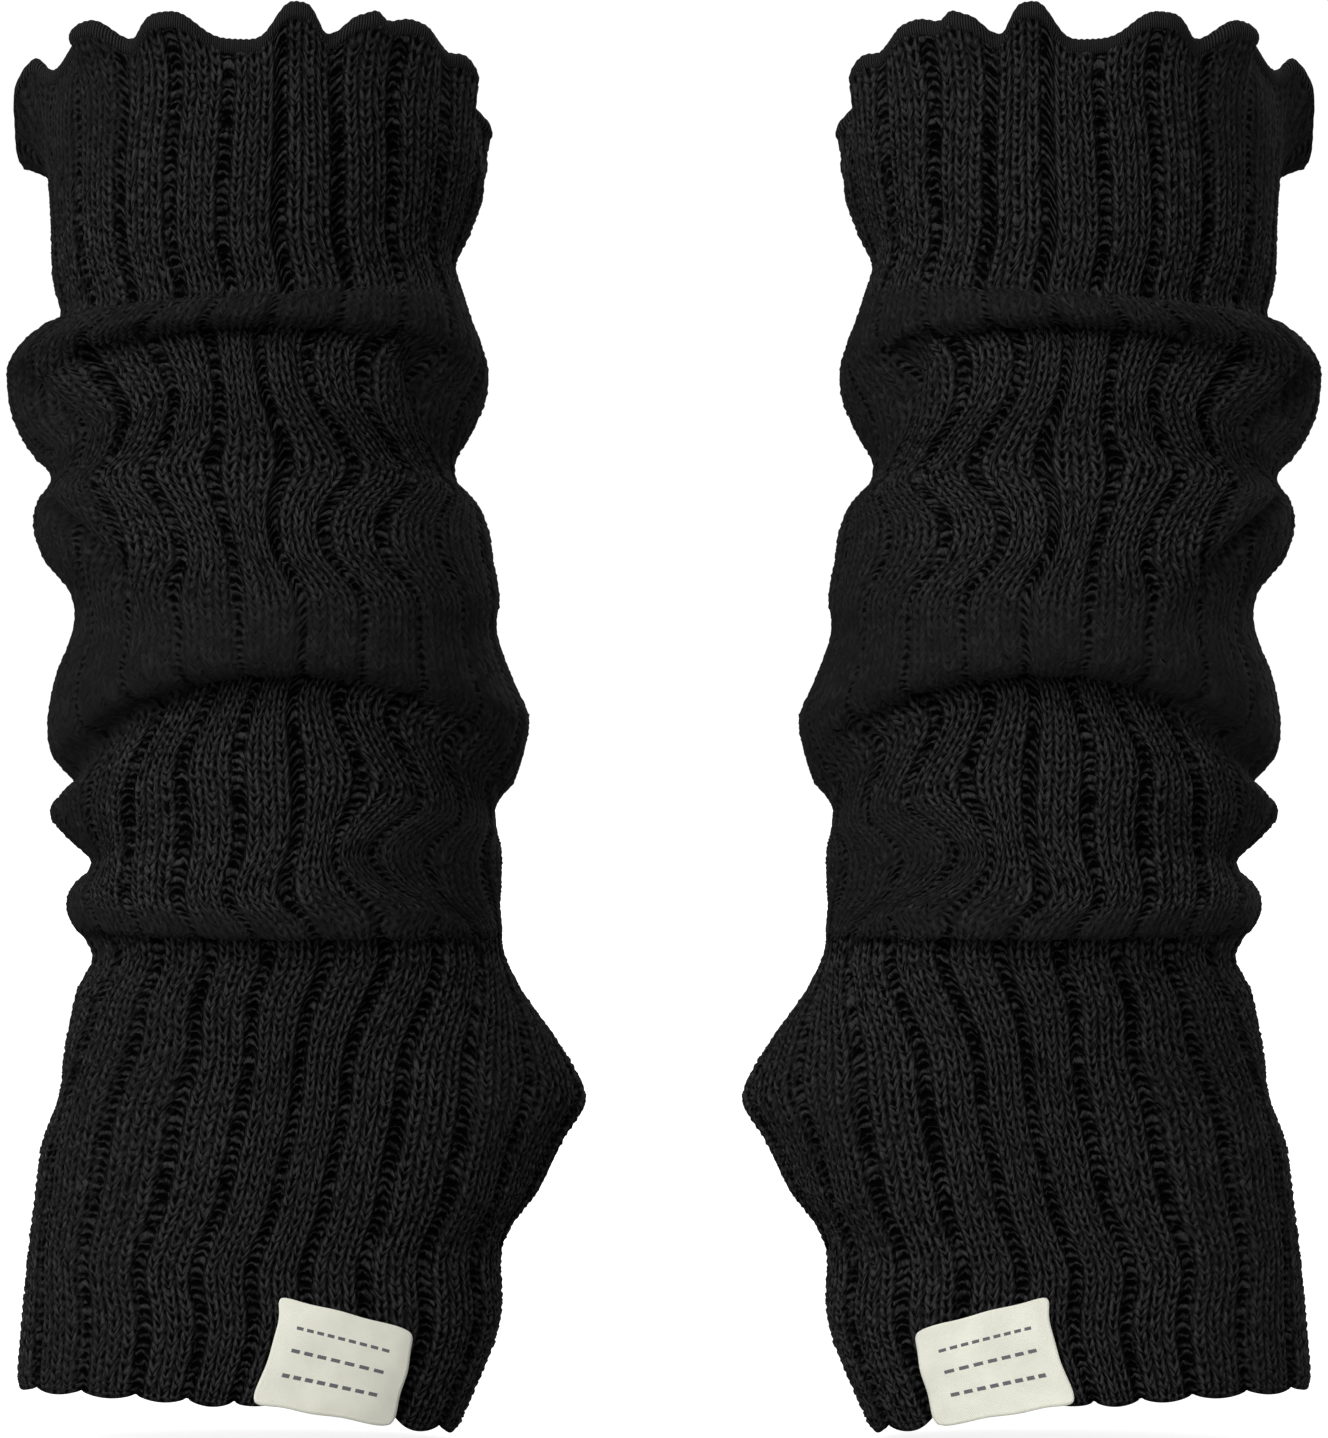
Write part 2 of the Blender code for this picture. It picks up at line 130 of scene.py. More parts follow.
# Where the folds push the ribs aside: how many stations and degrees each push reaches, and how far it goes.
PUSHES = table(
    "place turn down round degrees",
    (22.3, 42, 0.45, 16, 4.5),
    (23.0, -8, 0.5, 14, -3),
    (23.1, -45, 0.6, 26, -9),
    (23.3, 48, 0.55, 24, -8),
    (24.1, 0, 0.8, 16, -4),
    (24.5, 68, 0.9, 12, -7),
    (24.7, 36, 0.6, 14, 6),
)

NUMBER = {row.name: i for i, row in enumerate(STATIONS)}
SLIT_TOP, SLIT_FOOT = NUMBER["thumb corner"], NUMBER["palm"]
HEM = len(STATIONS) - 1
TABLE = np.array([row[1:] for row in STATIONS], dtype=float)
FRILL_LENGTH = float(np.hypot(*(TABLE[0] - TABLE[1])[[4, 5]]))  # down the middle of the front
EDGING_PLACE = EDGING_HEIGHT / FRILL_LENGTH

# The frill's waves round the top edge: degrees, then millimetres that they lift and flare.
WAVES = table(
    "angle width rise flare",
    (-46, 10.5, 4.9, 3.5),
    (-21, 9.5, 3.0, 4.0),
    (12, 7, 5.4, 4.5),
    (28, 6.5, 4.3, 4.0),
    (45, 13, 7.6, 3.5),
    (140, 8, 3.5, 4.5),
    (163, 9, 4.5, 4.0),
    (188, 8, 3.5, 4.5),
    (212, 9, 4.5, 4.0),
    (236, 8, 3.0, 4.5),
)
WAVE_SINK, WAVE_TUCK = 2.2, 1.6  # how low and how far in the edge lies between the waves

# At both sides the edge curls over instead. It runs smoothly through these.
LEFT_CURL = table(
    "angle rise flare",
    (-116, -1.0, 3.5),
    (-110, -3.0, 7.0),
    (-105, -4.5, 7.5),
    (-97, 0.0, 6.5),
    (-91, 6.0, 5.5),
    (-86, 9.0, 2.0),
    (-81, 5.5, -0.5),
    (-72, 3.0, -2.0),
    (-64, 4.0, -2.5),
    (-57, 5.0, -1.5),
    (-50, 4.5, 3.2),
)
RIGHT_CURL = table(
    "angle rise flare",
    (48, 7.5, 3.4),
    (56, 7.0, 0.5),
    (61, 6.5, 0.0),
    (67, 7.5, 1.5),
    (74, 6.5, 1.5),
    (82, 7.5, -4.0),
    (88, 7.0, -3.5),
    (94, 4.5, 0.0),
    (98, 3.0, 2.5),
    (103, 2.0, 0.5),
    (112, 0.0, 4.5),
    (118, -1.0, 5.0),
    (126, -2.2, -1.6),
)

# The knit
WALES = 80  # knit and purl columns of stitches round the tube
WALE_TURN = 360 / WALES
SLIT_TURN = 105.75  # between two knit wales, beside the slit of the part
COURSES = 177  # rows of stitches from the edging to the hem
ACROSS, DOWN = 4, 3  # mesh steps across and down a stitch
RIB_WALES, PURL_WALE = 4, 2  # one purl wale after three knit ones, counted from the slit
KNIT_DROOP = (0.0, 0.55, 1.1, 0.55)  # courses that a row hangs at each mesh step across a knit wale, a V
PURL_DROOP = (0.0, -0.3, -0.42, -0.3)  # and across a purl wale, an arch
EVEN_ENDS = 2  # courses at both ends over which the stitches come to hang straight
HEM_SCALLOP, HEM_SCALLOP_COURSES = 0.10, 3  # stations that the cast-off edge draws up at a valley
SCALLOP_POINT = 0.6  # how pointed the scallops are
HEM_DRAW, HEM_DRAW_COURSES = 0.08, 6  # how far it draws up under the label
LABEL_TURN, LABEL_REACH = 38, 26  # where the label is sewn on, and how far the hem draws up to each side
HEM_TUCK, HEM_TUCK_COURSES = 0.5, 2.5  # how far the cast-off edge draws in
HEM_ROUNDING = ((0.9, 0.6), (2.0, 0.4))  # depth, and how far it hangs, in millimetres
TUCKED_UNDER = 0.4  # the knit starts inside the edging
FRILL_RELIEF, FULL_RELIEF = 0.35, 0.9  # the stitches' depth at the edging, and where it is whole
CALM_FLATTENS, CALM_SINKS = 0.6, 0.25  # what smooth cloth loses of its stitches, and how deep it lies
STRAY_DEPTH, STRAY_SHIFT = 0.5, 7  # stray depth, taken from the stray of a mesh column beside it
SLIT_ROUNDING = 0.8  # how fast the slit opens from its ends
CUFF_END, HAND_START = NUMBER["tuck 1"], NUMBER["tuck 3"]  # folds that hide where the mesh is parted
LENGTH_SAMPLES = 1400  # places where the cloth's length is measured
BEAD_RADIUS, BEAD_SIDES, BEAD_DEPTH = 0.75, 8, 1.1  # the slit's finished edge

# Millimetres below the rib tops, at each mesh step across a wale, for the three steps down a stitch. They run
# from the middle of a rib to the middle of the valley after it, and back in the same way.
RELIEFS = table(
    "wale step course_1 course_2 course_3",
    ("knit, middle", 2, 0.45, 0.85, 0.60),
    ("knit, middle", 3, 0.45, 0.00, 0.08),
    ("knit, outer", 0, 1.10, 0.55, 0.75),
    ("knit, outer", 1, 0.47, 0.02, 0.10),
    ("knit, outer", 2, 0.55, 0.95, 0.70),
    ("knit, outer", 3, 0.70, 0.20, 0.30),
    ("purl", 0, 1.40, 0.95, 1.20),
    ("purl", 1, 2.40, 1.30, 1.90),
    ("purl", 2, 2.60, 1.10, 2.00),
)

# Soft creases and swells: where each lies, how many stations and degrees it reaches, millimetres that it
# lifts the cloth, and degrees that it leans for each station down.
PUCKERS = table(
    "place turn down round lift lean",
    (8.0, -56, 1.7, 7, 3.0, 3),
    (8.0, -68, 1.6, 4.2, -5.2, 3),
    (13.3, -48, 1.7, 8, 2.2, 9),
    (13.3, -60, 1.7, 4.4, -4.6, 9),
    (8.6, 48, 1.5, 8, 1.5, 6),
    (8.6, 60, 1.5, 5, -3.4, 6),
    (10.6, -30, 0.9, 12, -0.9, 6),
    (21.9, -50, 0.35, 24, -1.6, 0),
    (21.5, -92, 0.5, 28, 2.2, 0),
    (22.6, -95, 0.6, 30, 1.3, 0),
    (22.6, 24, 0.5, 12, -1.2, -42),
    (23.0, 38, 0.55, 12, 1.6, -42),
    (23.9, 48, 0.4, 14, -1.8, 0),
    (24.6, 38, 0.9, 9, 1.8, 17),
)

# Places where the cloth is drawn smooth, so that its stitches show less: where, how many stations and degrees
# each reaches, and how much of the stitches goes.
CALMS = table(
    "place turn down round share",
    (5.6, 0, 1.4, 400, 0.70),
    (5.6, 60, 1.6, 60, 0.35),
    (17.2, 0, 2.6, 400, 0.85),
    (18.8, -70, 1.8, 45, 0.80),
    (26.0, -60, 1.2, 70, 0.70),
    (25.5, 15, 1.0, 75, 0.60),
    (24.4, 40, 1.1, 24, 0.50),
    (22.8, 52, 0.8, 18, 0.50),
    (1.0, -80, 1.4, 45, 0.60),
    (14.0, -90, 15.0, 24, 0.60),
    (14.0, 90, 15.0, 24, 0.55),
    (8.5, 75, 2.2, 25, 0.60),
    (10.0, -68, 3.5, 22, 0.60),
    (13.5, -62, 2.2, 20, 0.60),
    (13.5, 66, 2.4, 20, 0.50),
    (23.5, -72, 3.5, 18, 0.60),
    (23.0, 68, 3.0, 18, 0.50),
    (33.0, -52, 4.5, 24, 0.35),
    (31.0, 78, 2.5, 20, 0.30),
)

# The knit's shading. In a pair, the first number is how much a value counts, and the second is added to it.
# The shading is painted: highlights along the legs and purl arches, and shade in the gaps and purl valleys.
STITCH_STRAY = (0.45, 1.2)  # how far stitches stray across and along, in wales and courses
LEG_SHARPNESS, LEG_SHADE = 1.2, (0.35, 0.65)
GAP_SHADE, GAP_CHANCE = (0.50, 0.28), (0.8, 0.4)
ARCH_SHARPNESS, ARCH_SHADE = (2.0, 0.7), (-0.35, 1.05)
PATCH_ACROSS, PATCH_ALONG = 0.35, 0.16  # how often the valleys' width changes, for each wale and course
VALLEY_WIDTH, VALLEY_EDGE = (3.5, 1.4), -6.0
CALM_NARROWS, CALM_FADES = -2.0, (-0.65, 1.0)  # what smooth cloth takes off the valleys' width and darkness
# On smooth cloth an even tone takes the place of the painted stitch shade.
CALM_SHADE = 0.72
CHANCE_SHADE = (0.15, 0.93)  # how much stitches differ
FUZZ = (-1.1, 1.6)  # how much the fibres show, less where the cloth is smooth
# The palest tones are painted highlights.
TONE_POWER, YARN_TONE = 4.0, 0.06  # how rare the palest tones are, and where the yarn's own colour stands
KNIT_HEIGHT, FIBRE_HEIGHT = 1.5, 0.4
FIBRES_ACROSS, FIBRES_ALONG = 9.0, 2.2  # the yarn's fibres and plies, for each wale and course
PLIES_ACROSS, PLIES_ALONG, PLY_HEIGHT = 2.8, 2.0, 0.12

# The edging's bead
EDGING_STEPS, EDGING_SIDES = 900, 12
EDGING_WRAPS, EDGING_TWIST = 180, 2  # turns of thread along the whole bead, and how they slant round it
EDGING_RIDGE = 0.05
EDGING_SWELLS_HIGH, EDGING_SWELLS_THICK = 0.25, 0.3  # how far the thread stands out all round
THREAD_ROWS, THREAD_STRANDS = 6, 3  # the threads round the bead, and the strands of a wrap
# The thread's wraps get painted shade between them and painted highlights on their tops.
THREAD_SLANT, THREAD_SHADE, THREAD_FUZZ = 0.3, (0.35, 0.5), 0.45

# The labels
LABEL_COLUMNS, LABEL_ROWS = 48, 36
LABEL_WARPS, LABEL_WEFTS = 70, 55  # threads across and down the tape
LABEL_DASHES = ((0.30, 9), (0.52, 7), (0.74, 8))  # rows of plain stitches: place down the label, and count
LABEL_MARGIN = 0.14  # bare tape at both ends of a row
DASH_HALF_HEIGHT, DASH_HALF_LENGTH = 0.017, 0.33  # shares of the tape's height and of a dash's step
DASH_RELIEF = 0.8
WEAVE_TONE, LABEL_SHADE = 0.06, 0.86  # how much the weave shades the tape, and its darker tone
LABEL_DROP, LABEL_BEND = 0.9, 4  # how far the label reaches below the hem, and how late it turns down
LABEL_ROUNDING, LABEL_SQUARENESS = 0.05, 14  # how far its corners draw in, and how near the corner
LABEL_THICKNESS = 0.7
LABEL_DEPTH = -0.25  # its back, above the rib tops
LABEL_SHAPE = 1.3  # how much wider than tall
LABEL_PUFF, LABEL_PUFF_ACROSS, LABEL_PUFF_DOWN = 0.175, 7, 3  # how far it lifts in waves, and their radians
LABEL_PUFF_START, LABEL_PUFF_LEAST = 8, 0.2  # how soon the waves start from the edge, and what is left there
EdgeWave = namedtuple("EdgeWave", "radians start reach")
LABEL_SIDE_WAVE, LABEL_END_WAVE = EdgeWave(13, 2, 0.005), EdgeWave(15, 1, 0.006)
Corner = namedtuple("Corner", "place turn")
LABEL_UPPER_LEFT, LABEL_UPPER_RIGHT = Corner(34.40, 18.0), Corner(34.96, 58.0)
LABEL_LOWER_LEFT, LABEL_LOWER_RIGHT = Corner(35.88, 15.0), Corner(35.96, 61.5)

# The photograph's view
PHOTO_HEIGHT, PIXEL = 1438, 0.000215  # pixels, and metres for each at the sleeves' axes
CAMERA_DISTANCE = 1.6
AIM = (MIRROR_X * MM, 0.0, -0.1008)
SENSOR = 36.0
NEAREST = 0.05
FLOOR_REACH, FLOOR_GAP = 12.0, 0.002  # metres to each side, and below the hems
FLOOR_TONE, FLOOR_GLOW, BACKDROP = 0.5, 0.85, 1.05  # the floor's own tone and glow, and the white behind all
KEY_FROM = (-0.50, -0.85, 0.45)  # the direction that the key light comes from
BACK_FROM = (0.60, 0.75, 0.50)
LIGHT_SPREAD = 0.9


# The shape of the cloth


def curve_through(at, places, values):
    """Values at any places, on a smooth curve through the rows of a table."""
    slopes = np.gradient(values, places, axis=0)
    start = np.clip(np.searchsorted(places, at, side="right") - 1, 0, len(places) - 2)
    reach = (places[start + 1] - places[start])[..., None]
    share = np.clip((at - places[start])[..., None] / reach, 0, 1)
    rest = 1 - share
    return (
        values[start] * (1 + 2 * share) * rest**2
        + slopes[start] * reach * share * rest**2
        + values[start + 1] * share**2 * (3 - 2 * share)
        - slopes[start + 1] * reach * share**2 * rest
    )


def away(angle, other):
    """Degrees from one angle to another, the short way round."""
    return (angle - other + 180) % 360 - 180


def edge_lift(angle):
    """How far the frill's edge lifts and flares."""
    rise, flare = -WAVE_SINK, -WAVE_TUCK
    for wave in WAVES:
        near = np.exp(-(np.abs(away(angle, wave.angle) / wave.width) ** 3))
        rise = rise + (wave.rise + WAVE_SINK) * near
        flare = flare + (wave.flare + WAVE_TUCK) * near
    for curl in (LEFT_CURL, RIGHT_CURL):
        angles, *lifts = np.array(curl, dtype=float).T
        middle = (angles[0] + angles[-1]) / 2
        here = away(angle, middle) + middle
        curled = curve_through(here, angles, np.transpose(lifts))
        inside = (here > angles[0]) & (here < angles[-1])
        rise, flare = np.where(inside, curled[..., 0], rise), np.where(inside, curled[..., 1], flare)
    return rise, flare


def nearness(row, place, turn, power=2):
    """How near the cloth is to the place of a row, from 0 to 1. A higher power makes a flatter top."""
    down, round_ = (place - row.place) / row.down, away(turn, row.turn) / row.round
    return np.exp(-(down**power) - round_**power)


def pushed(place, turn):
    """Degrees that the folds push the ribs aside."""
    return sum(push.degrees * nearness(push, place, turn) for push in PUSHES)


def surface(place, turn):
    """The cloth at the tops of its ribs: points in millimetres."""
    place, turn = np.broadcast_arrays(np.asarray(place, float), np.asarray(turn, float))
    rows = curve_through(place, np.arange(HEM + 1), TABLE)
    left, left_z, right, right_z, front, front_z, back, back_z, swing, bunch = np.moveaxis(rows, -1, 0)
    seen = np.clip((SEEN_REACH + SEEN_FADE - np.abs(away(turn, SEEN_MIDDLE))) / SEEN_FADE, 0, 1)
    steady = BEHIND_SHARE + (1 - BEHIND_SHARE) * seen**2 * (3 - 2 * seen)
    off = away(turn, 0)
    reach = CENTRE_REACH + CENTRE_LEFT * (off < 0) * np.clip((place - CENTRE_WIDENS) / CENTRE_FADE, 0, 1)
    middle = np.exp(-((off / reach) ** 2)) * np.clip((CENTRE_END - place) / CENTRE_FADE, 0, 1)
    angle = np.radians(turn + pushed(place, turn) + swing * steady * (1 - (1 - CENTRE_SHARE) * middle))
    angle = angle - bunch * steady / 2 * np.sin(2 * angle)
    x = (right + left) / 2 + (right - left) / 2 * np.sin(angle)
    y = (back - front) / 2 - (back + front) / 2 * np.cos(angle)
    level = (front_z + back_z + left_z + right_z) / 4
    oval = (front_z + back_z - left_z - right_z) / 4
    z = level + (front_z - back_z) / 2 * np.cos(angle) + (right_z - left_z) / 2 * np.sin(angle)
    z = z + oval * np.cos(2 * angle)
    strength = np.clip((FRILL_STATIONS - place) / (FRILL_STATIONS - EDGING_PLACE), 0, 1)
    rise, flare = edge_lift(np.degrees(angle))
    rise, flare = rise * strength**RISE_FADE, flare * strength**FLARE_FADE
    return np.stack([x + np.sin(angle) * flare, y - np.cos(angle) * flare, z + rise], axis=-1)


def unit(vectors):
    """The same directions with length 1."""
    return vectors / np.linalg.norm(vectors, axis=-1, keepdims=True)


def outward(place, turn):
    """The direction that leaves the cloth at right angles."""
    place = np.maximum(place, EDGING_PLACE)  # the edging takes that of the seam below it
    down = surface(np.minimum(place + LOOK_DOWN, HEM), turn) - surface(place - LOOK_DOWN, turn)
    round_ = surface(place, turn + LOOK_ROUND) - surface(place, turn - LOOK_ROUND)
    return unit(np.cross(down, round_))


def beside_slit(turn, open_share, side):
    """The turn of a wale after the slit's lips have parted. side is 1 or -1 on a lip, and 0 elsewhere."""
    off = away(turn, SLIT_TURN)
    side = np.where(side == 0, np.where(off > 0, 1, -1), side)
    gape = SLIT_GAPE * open_share
    moved = SLIT_TURN + side * (gape + (SLIT_REACH - gape) * np.abs(off) / SLIT_REACH)
    return np.where(np.abs(off) > SLIT_REACH, turn, moved)


def cloth(place, turn, depth, open_share=0.0, side=0):
    """Points that lie depth millimetres inside the rib tops, where the open slit has moved the cloth to."""
    moved = beside_slit(turn, open_share, side)
    return surface(place, moved) - outward(place, moved) * np.asarray(depth)[..., None]


def pucker(place, turn):
    """How far the soft creases and swells lift the cloth, in millimetres."""
    lift = 0
    for crease in PUCKERS:
        upright = turn - crease.lean * (place - crease.place)
        lift = lift + crease.lift * nearness(crease, place, upright)
    return lift


def calm_share(place, turn):
    """How smooth the cloth is drawn, from 0 to 1."""
    rough = 1
    for calm in CALMS:
        rough = rough * (1 - calm.share * nearness(calm, place, turn, 4))
    return 1 - rough


# Meshes


def mesh_object(name, points, faces, corners, material, calm=None):
    """One object from millimetre points. corners has the flat place of each corner of the faces."""
    used, numbers = np.unique(np.concatenate([group.ravel() for group in faces]), return_inverse=True)
    sizes = np.concatenate([np.full(len(group), group.shape[1]) for group in faces])
    mesh = bpy.data.meshes.new(name)
    mesh.vertices.add(len(used))
    mesh.vertices.foreach_set("co", (points[used] * MM).astype(np.float32).ravel())
    mesh.loops.add(len(numbers))
    mesh.loops.foreach_set("vertex_index", numbers.astype(np.int32).ravel())
    mesh.polygons.add(len(sizes))
    mesh.polygons.foreach_set("loop_start", (np.cumsum(sizes) - sizes).astype(np.int32))
    layer = mesh.uv_layers.new(name="knit")
    layer.data.foreach_set("uv", np.concatenate([group.ravel() for group in corners]).astype(np.float32))
    if calm is not None:
        smooth = mesh.attributes.new("calm", "FLOAT", "POINT")
        smooth.data.foreach_set("value", calm[used].astype(np.float32))
    mesh.materials.append(material)
    mesh.update(calc_edges=True)
    mesh.validate()
    mesh.shade_smooth()
    piece = bpy.data.objects.new(name, mesh)
    bpy.context.scene.collection.objects.link(piece)
    return piece


def add_pair(name, node, slot, points, faces, corners, material, calm=None):
    """The left piece and its mirror image on the right, each riding on the body in place of its solid."""
    pieces = []
    for side in SIDES:
        if side == "right":
            points = points * [-1, 1, 1] + [2 * MIRROR_X, 0, 0]
            faces = [group[:, ::-1] for group in faces]
            corners = [group[:, ::-1] for group in corners]
        piece = mesh_object(f"{side}_{name}", points, faces, corners, material, calm)
        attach(piece, "root")
        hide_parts(f"{side}_{node}")
        pieces.append(piece)
    return pieces


def grid_faces(numbers):
    """Four-cornered faces over a grid of point numbers, whose rows run down the tube."""
    corners = numbers[:-1, :-1], numbers[1:, :-1], numbers[1:, 1:], numbers[:-1, 1:]
    return np.stack(corners, axis=-1).reshape(-1, 4)


def steps_to_plain(fine, plain, steps):
    """Triangles between a row with several steps for each step of the plain row beside it."""
    made = []
    for n in range(len(plain) - 1):
        edge = fine[n * steps : (n + 1) * steps + 1]
        half = steps // 2
        made += [(edge[k], edge[k + 1], plain[n] if k < half else plain[n + 1]) for k in range(steps)]
        made.append((edge[half], plain[n + 1], plain[n]))
    return np.array(made)


# The knit


class Knit:
    """The stitches of one sleeve, as a grid of points: rows down it, and columns round it from the slit."""

    def __init__(self, settings):
        rows, columns = COURSES * DOWN + 1, WALES * ACROSS + 1
        self.turns = SLIT_TURN + np.arange(columns)[None, :] * WALE_TURN / ACROSS
        course = np.arange(rows)[:, None] / DOWN
        flat = np.broadcast_arrays(np.arange(columns) / (columns - 1), course / COURSES)
        self.flat = np.stack(flat, axis=-1)
        uneven = np.random.default_rng(settings.seed).normal(0, settings.unevenness, (rows, columns))
        uneven[:, -1] = uneven[:, 0]
        droop = np.resize(KNIT_DROOP * PURL_WALE + PURL_DROOP + KNIT_DROOP, columns)
        to_hem = COURSES - course
        near_end = np.clip(np.minimum(course, to_hem) / EVEN_ENDS, 0, 1)
        self.places = self.places_of(course + (droop + uneven) * near_end)
        rib = (np.arange(columns) / ACROSS - PURL_WALE - 0.5) / RIB_WALES
        scallop = 1 - np.abs(np.sin(np.pi * rib)) ** SCALLOP_POINT
        self.places -= HEM_SCALLOP * scallop * np.clip(1 - to_hem / HEM_SCALLOP_COURSES, 0, 1) ** 2
        under_label = np.exp(-((away(self.turns, LABEL_TURN) / LABEL_REACH) ** 6))
        self.places -= HEM_DRAW * under_label * np.clip(1 - to_hem / HEM_DRAW_COURSES, 0, 1)
        self.slit = [self.course_at(place, 0) for place in (SLIT_TOP, SLIT_FOOT)]
        share = np.clip((course - self.slit[0]) / (self.slit[1] - self.slit[0]), 0, 1)
        self.open = np.abs(np.sin(np.pi * share)) ** SLIT_ROUNDING
        self.parted = ((share > 0) & (share < 1))[:, 0]
        self.side = np.zeros((rows, columns))
        self.side[self.parted, 0], self.side[self.parted, -1] = 1, -1
        self.lift = pucker(self.places, self.turns)
        self.calm = calm_share(self.places, self.turns)
        relief = np.array([row[2:] for row in RELIEFS + RELIEFS[-2:0:-1]]).T
        from_middle = np.arange(columns) - ACROSS // 2
        depth = relief[np.arange(rows) % DOWN][:, from_middle % (RIB_WALES * ACROSS)]
        depth = depth * np.clip((self.places - EDGING_PLACE) / FULL_RELIEF, FRILL_RELIEF, 1) * settings.relief
        depth = depth * (1 - CALM_FLATTENS * self.calm) + CALM_SINKS * self.calm
        depth += HEM_TUCK * np.clip(1 - to_hem / HEM_TUCK_COURSES, 0, 1) ** 2
        depth += np.roll(uneven, STRAY_SHIFT, axis=1) * STRAY_DEPTH
        self.points = cloth(self.places, self.turns, depth - self.lift, self.open, self.side)

    def places_of(self, courses):
        """Places down the cloth for counts of courses, which are evenly spaced by the cloth's own length."""
        samples = np.linspace(EDGING_PLACE * TUCKED_UNDER, HEM, LENGTH_SAMPLES)
        steps = np.linalg.norm(np.diff(surface(samples[:, None], self.turns), axis=0), axis=-1)
        lengths = np.vstack([np.zeros(steps.shape[1]), np.cumsum(steps, axis=0)])
        self.length = lengths[-1].mean()
        shares = (lengths / lengths[-1]).T
        wanted = (courses / COURSES).T
        return np.column_stack([np.interp(one, share, samples) for one, share in zip(wanted, shares)])

    def course_at(self, place, column):
        """The course that lies nearest to a place, in one column of the mesh."""
        return int(np.argmin(np.abs(self.places[::DOWN, column] - place)))

    def part(self, first, last):
        """Points, faces and flat places of the closed tube of cloth between two courses."""
        rows = slice(first * DOWN, last * DOWN + 1)
        plain = slice(first * DOWN, last * DOWN + 1, DOWN), slice(None, None, ACROSS)
        outer, flat, parted, calm = self.points[rows], self.flat[rows], self.parted[rows], self.calm[rows]
        if last == COURSES:
            outer = np.concatenate([outer, self.rounded_hem()])
            flat, calm = (np.concatenate([one, *[one[-1:]] * len(HEM_ROUNDING)]) for one in (flat, calm))
            parted = np.append(parted, [False] * len(HEM_ROUNDING))
        thick = FRILL_WALL + (WALL - FRILL_WALL) * np.clip(self.places[plain], 0, 1) - self.lift[plain]
        turns = self.turns[:, ::ACROSS]
        inner = cloth(self.places[plain], turns, thick, self.open[plain[0]], self.side[plain])
        out = np.arange(outer[..., 0].size).reshape(outer.shape[:2])
        back = out.size + np.arange(inner[..., 0].size).reshape(inner.shape[:2])
        faces = [grid_faces(out), grid_faces(back)[:, ::-1]]
        faces.append(steps_to_plain(out[0], back[0], ACROSS))
        faces.append(steps_to_plain(out[-1], back[-1], ACROSS)[:, ::-1])
        start, end = (min(max(course - first, 0), last - first) for course in self.slit)
        if end > start:
            lip, inner_lip = out[start * DOWN : end * DOWN + 1], back[start : end + 1]
            faces.append(steps_to_plain(lip[:, 0], inner_lip[:, 0], DOWN)[:, ::-1])
            faces.append(steps_to_plain(lip[:, -1], inner_lip[:, -1], DOWN))
        flats = np.concatenate([flat.reshape(-1, 2), self.flat[plain].reshape(-1, 2)])
        same = np.arange(out.size + back.size)
        same[out[~parted, -1]] = out[~parted, 0]
        same[back[~self.parted[plain[0]], -1]] = back[~self.parted[plain[0]], 0]
        points = np.concatenate([outer.reshape(-1, 3), inner.reshape(-1, 3)])
        calm = np.concatenate([calm.ravel(), self.calm[plain].ravel()])
        return (points, [same[group] for group in faces], [flats[group] for group in faces]), calm

    def rounded_hem(self):
        """Rows that round the cast-off edge over to the plain inside."""
        down = unit(surface(HEM, self.turns) - surface(HEM - LOOK_DOWN, self.turns))
        last = self.places[-1:]
        rows = [cloth(last, self.turns, [depth]) + down * reach for depth, reach in HEM_ROUNDING]
        return np.concatenate(rows)

    def slit_bead(self):
        """The finished edge of the thumb slit: a cord that runs down one lip and up the other."""
        rows = np.arange(self.slit[0] * DOWN, self.slit[1] * DOWN + 1)
        lips = []
        for column, side in ((0, 1), (-1, -1)):
            place, turn = self.places[rows, column], self.turns[0, column]
            lips.append(cloth(place, turn, np.full(len(rows), BEAD_DEPTH), self.open[rows, 0], side))
        path = np.concatenate([lips[0], lips[1][-2:0:-1]])
        return cord_round(path, BEAD_RADIUS, BEAD_SIDES)


def closed_tube(rings):
    """The skin of a closed tube through rings of points, with flat places that run along and round it."""
    rings = np.concatenate([rings, rings[:1]])
    steps = [np.linspace(0, 1, count) for count in rings.shape[1::-1]]
    flat = np.stack(np.meshgrid(*steps), axis=-1)
    numbers = np.arange(rings[..., 0].size).reshape(rings.shape[:2])
    same = numbers.copy()
    same[:, -1] = same[:, 0]
    same[-1] = same[0]
    faces = grid_faces(numbers)
    return rings.reshape(-1, 3), same.ravel()[faces], flat.reshape(-1, 2)[faces]


def cord_round(path, radius, sides):
    """A closed cord along a ring of points."""
    along = unit(np.roll(path, -1, axis=0) - np.roll(path, 1, axis=0))
    out = unit(path - path.mean(axis=0))
    across = unit(np.cross(along, out))
    out = np.cross(across, along)
    angles = np.radians(np.arange(sides + 1) * 360 / sides)[None, :, None]
    rings = path[:, None] + radius * (np.cos(angles) * out[:, None] + np.sin(angles) * across[:, None])
    points, faces, corners = closed_tube(rings)
    return points, [faces], [corners]


def joined(*shells):
    """Several shells as one: their points, faces and flat places."""
    points, faces, corners, count = [], [], [], 0
    for shell_points, shell_faces, shell_corners in shells:
        points.append(shell_points)
        faces += [group + count for group in shell_faces]
        corners += shell_corners
        count += len(shell_points)
    return np.concatenate(points), faces, corners


# The frilled edging


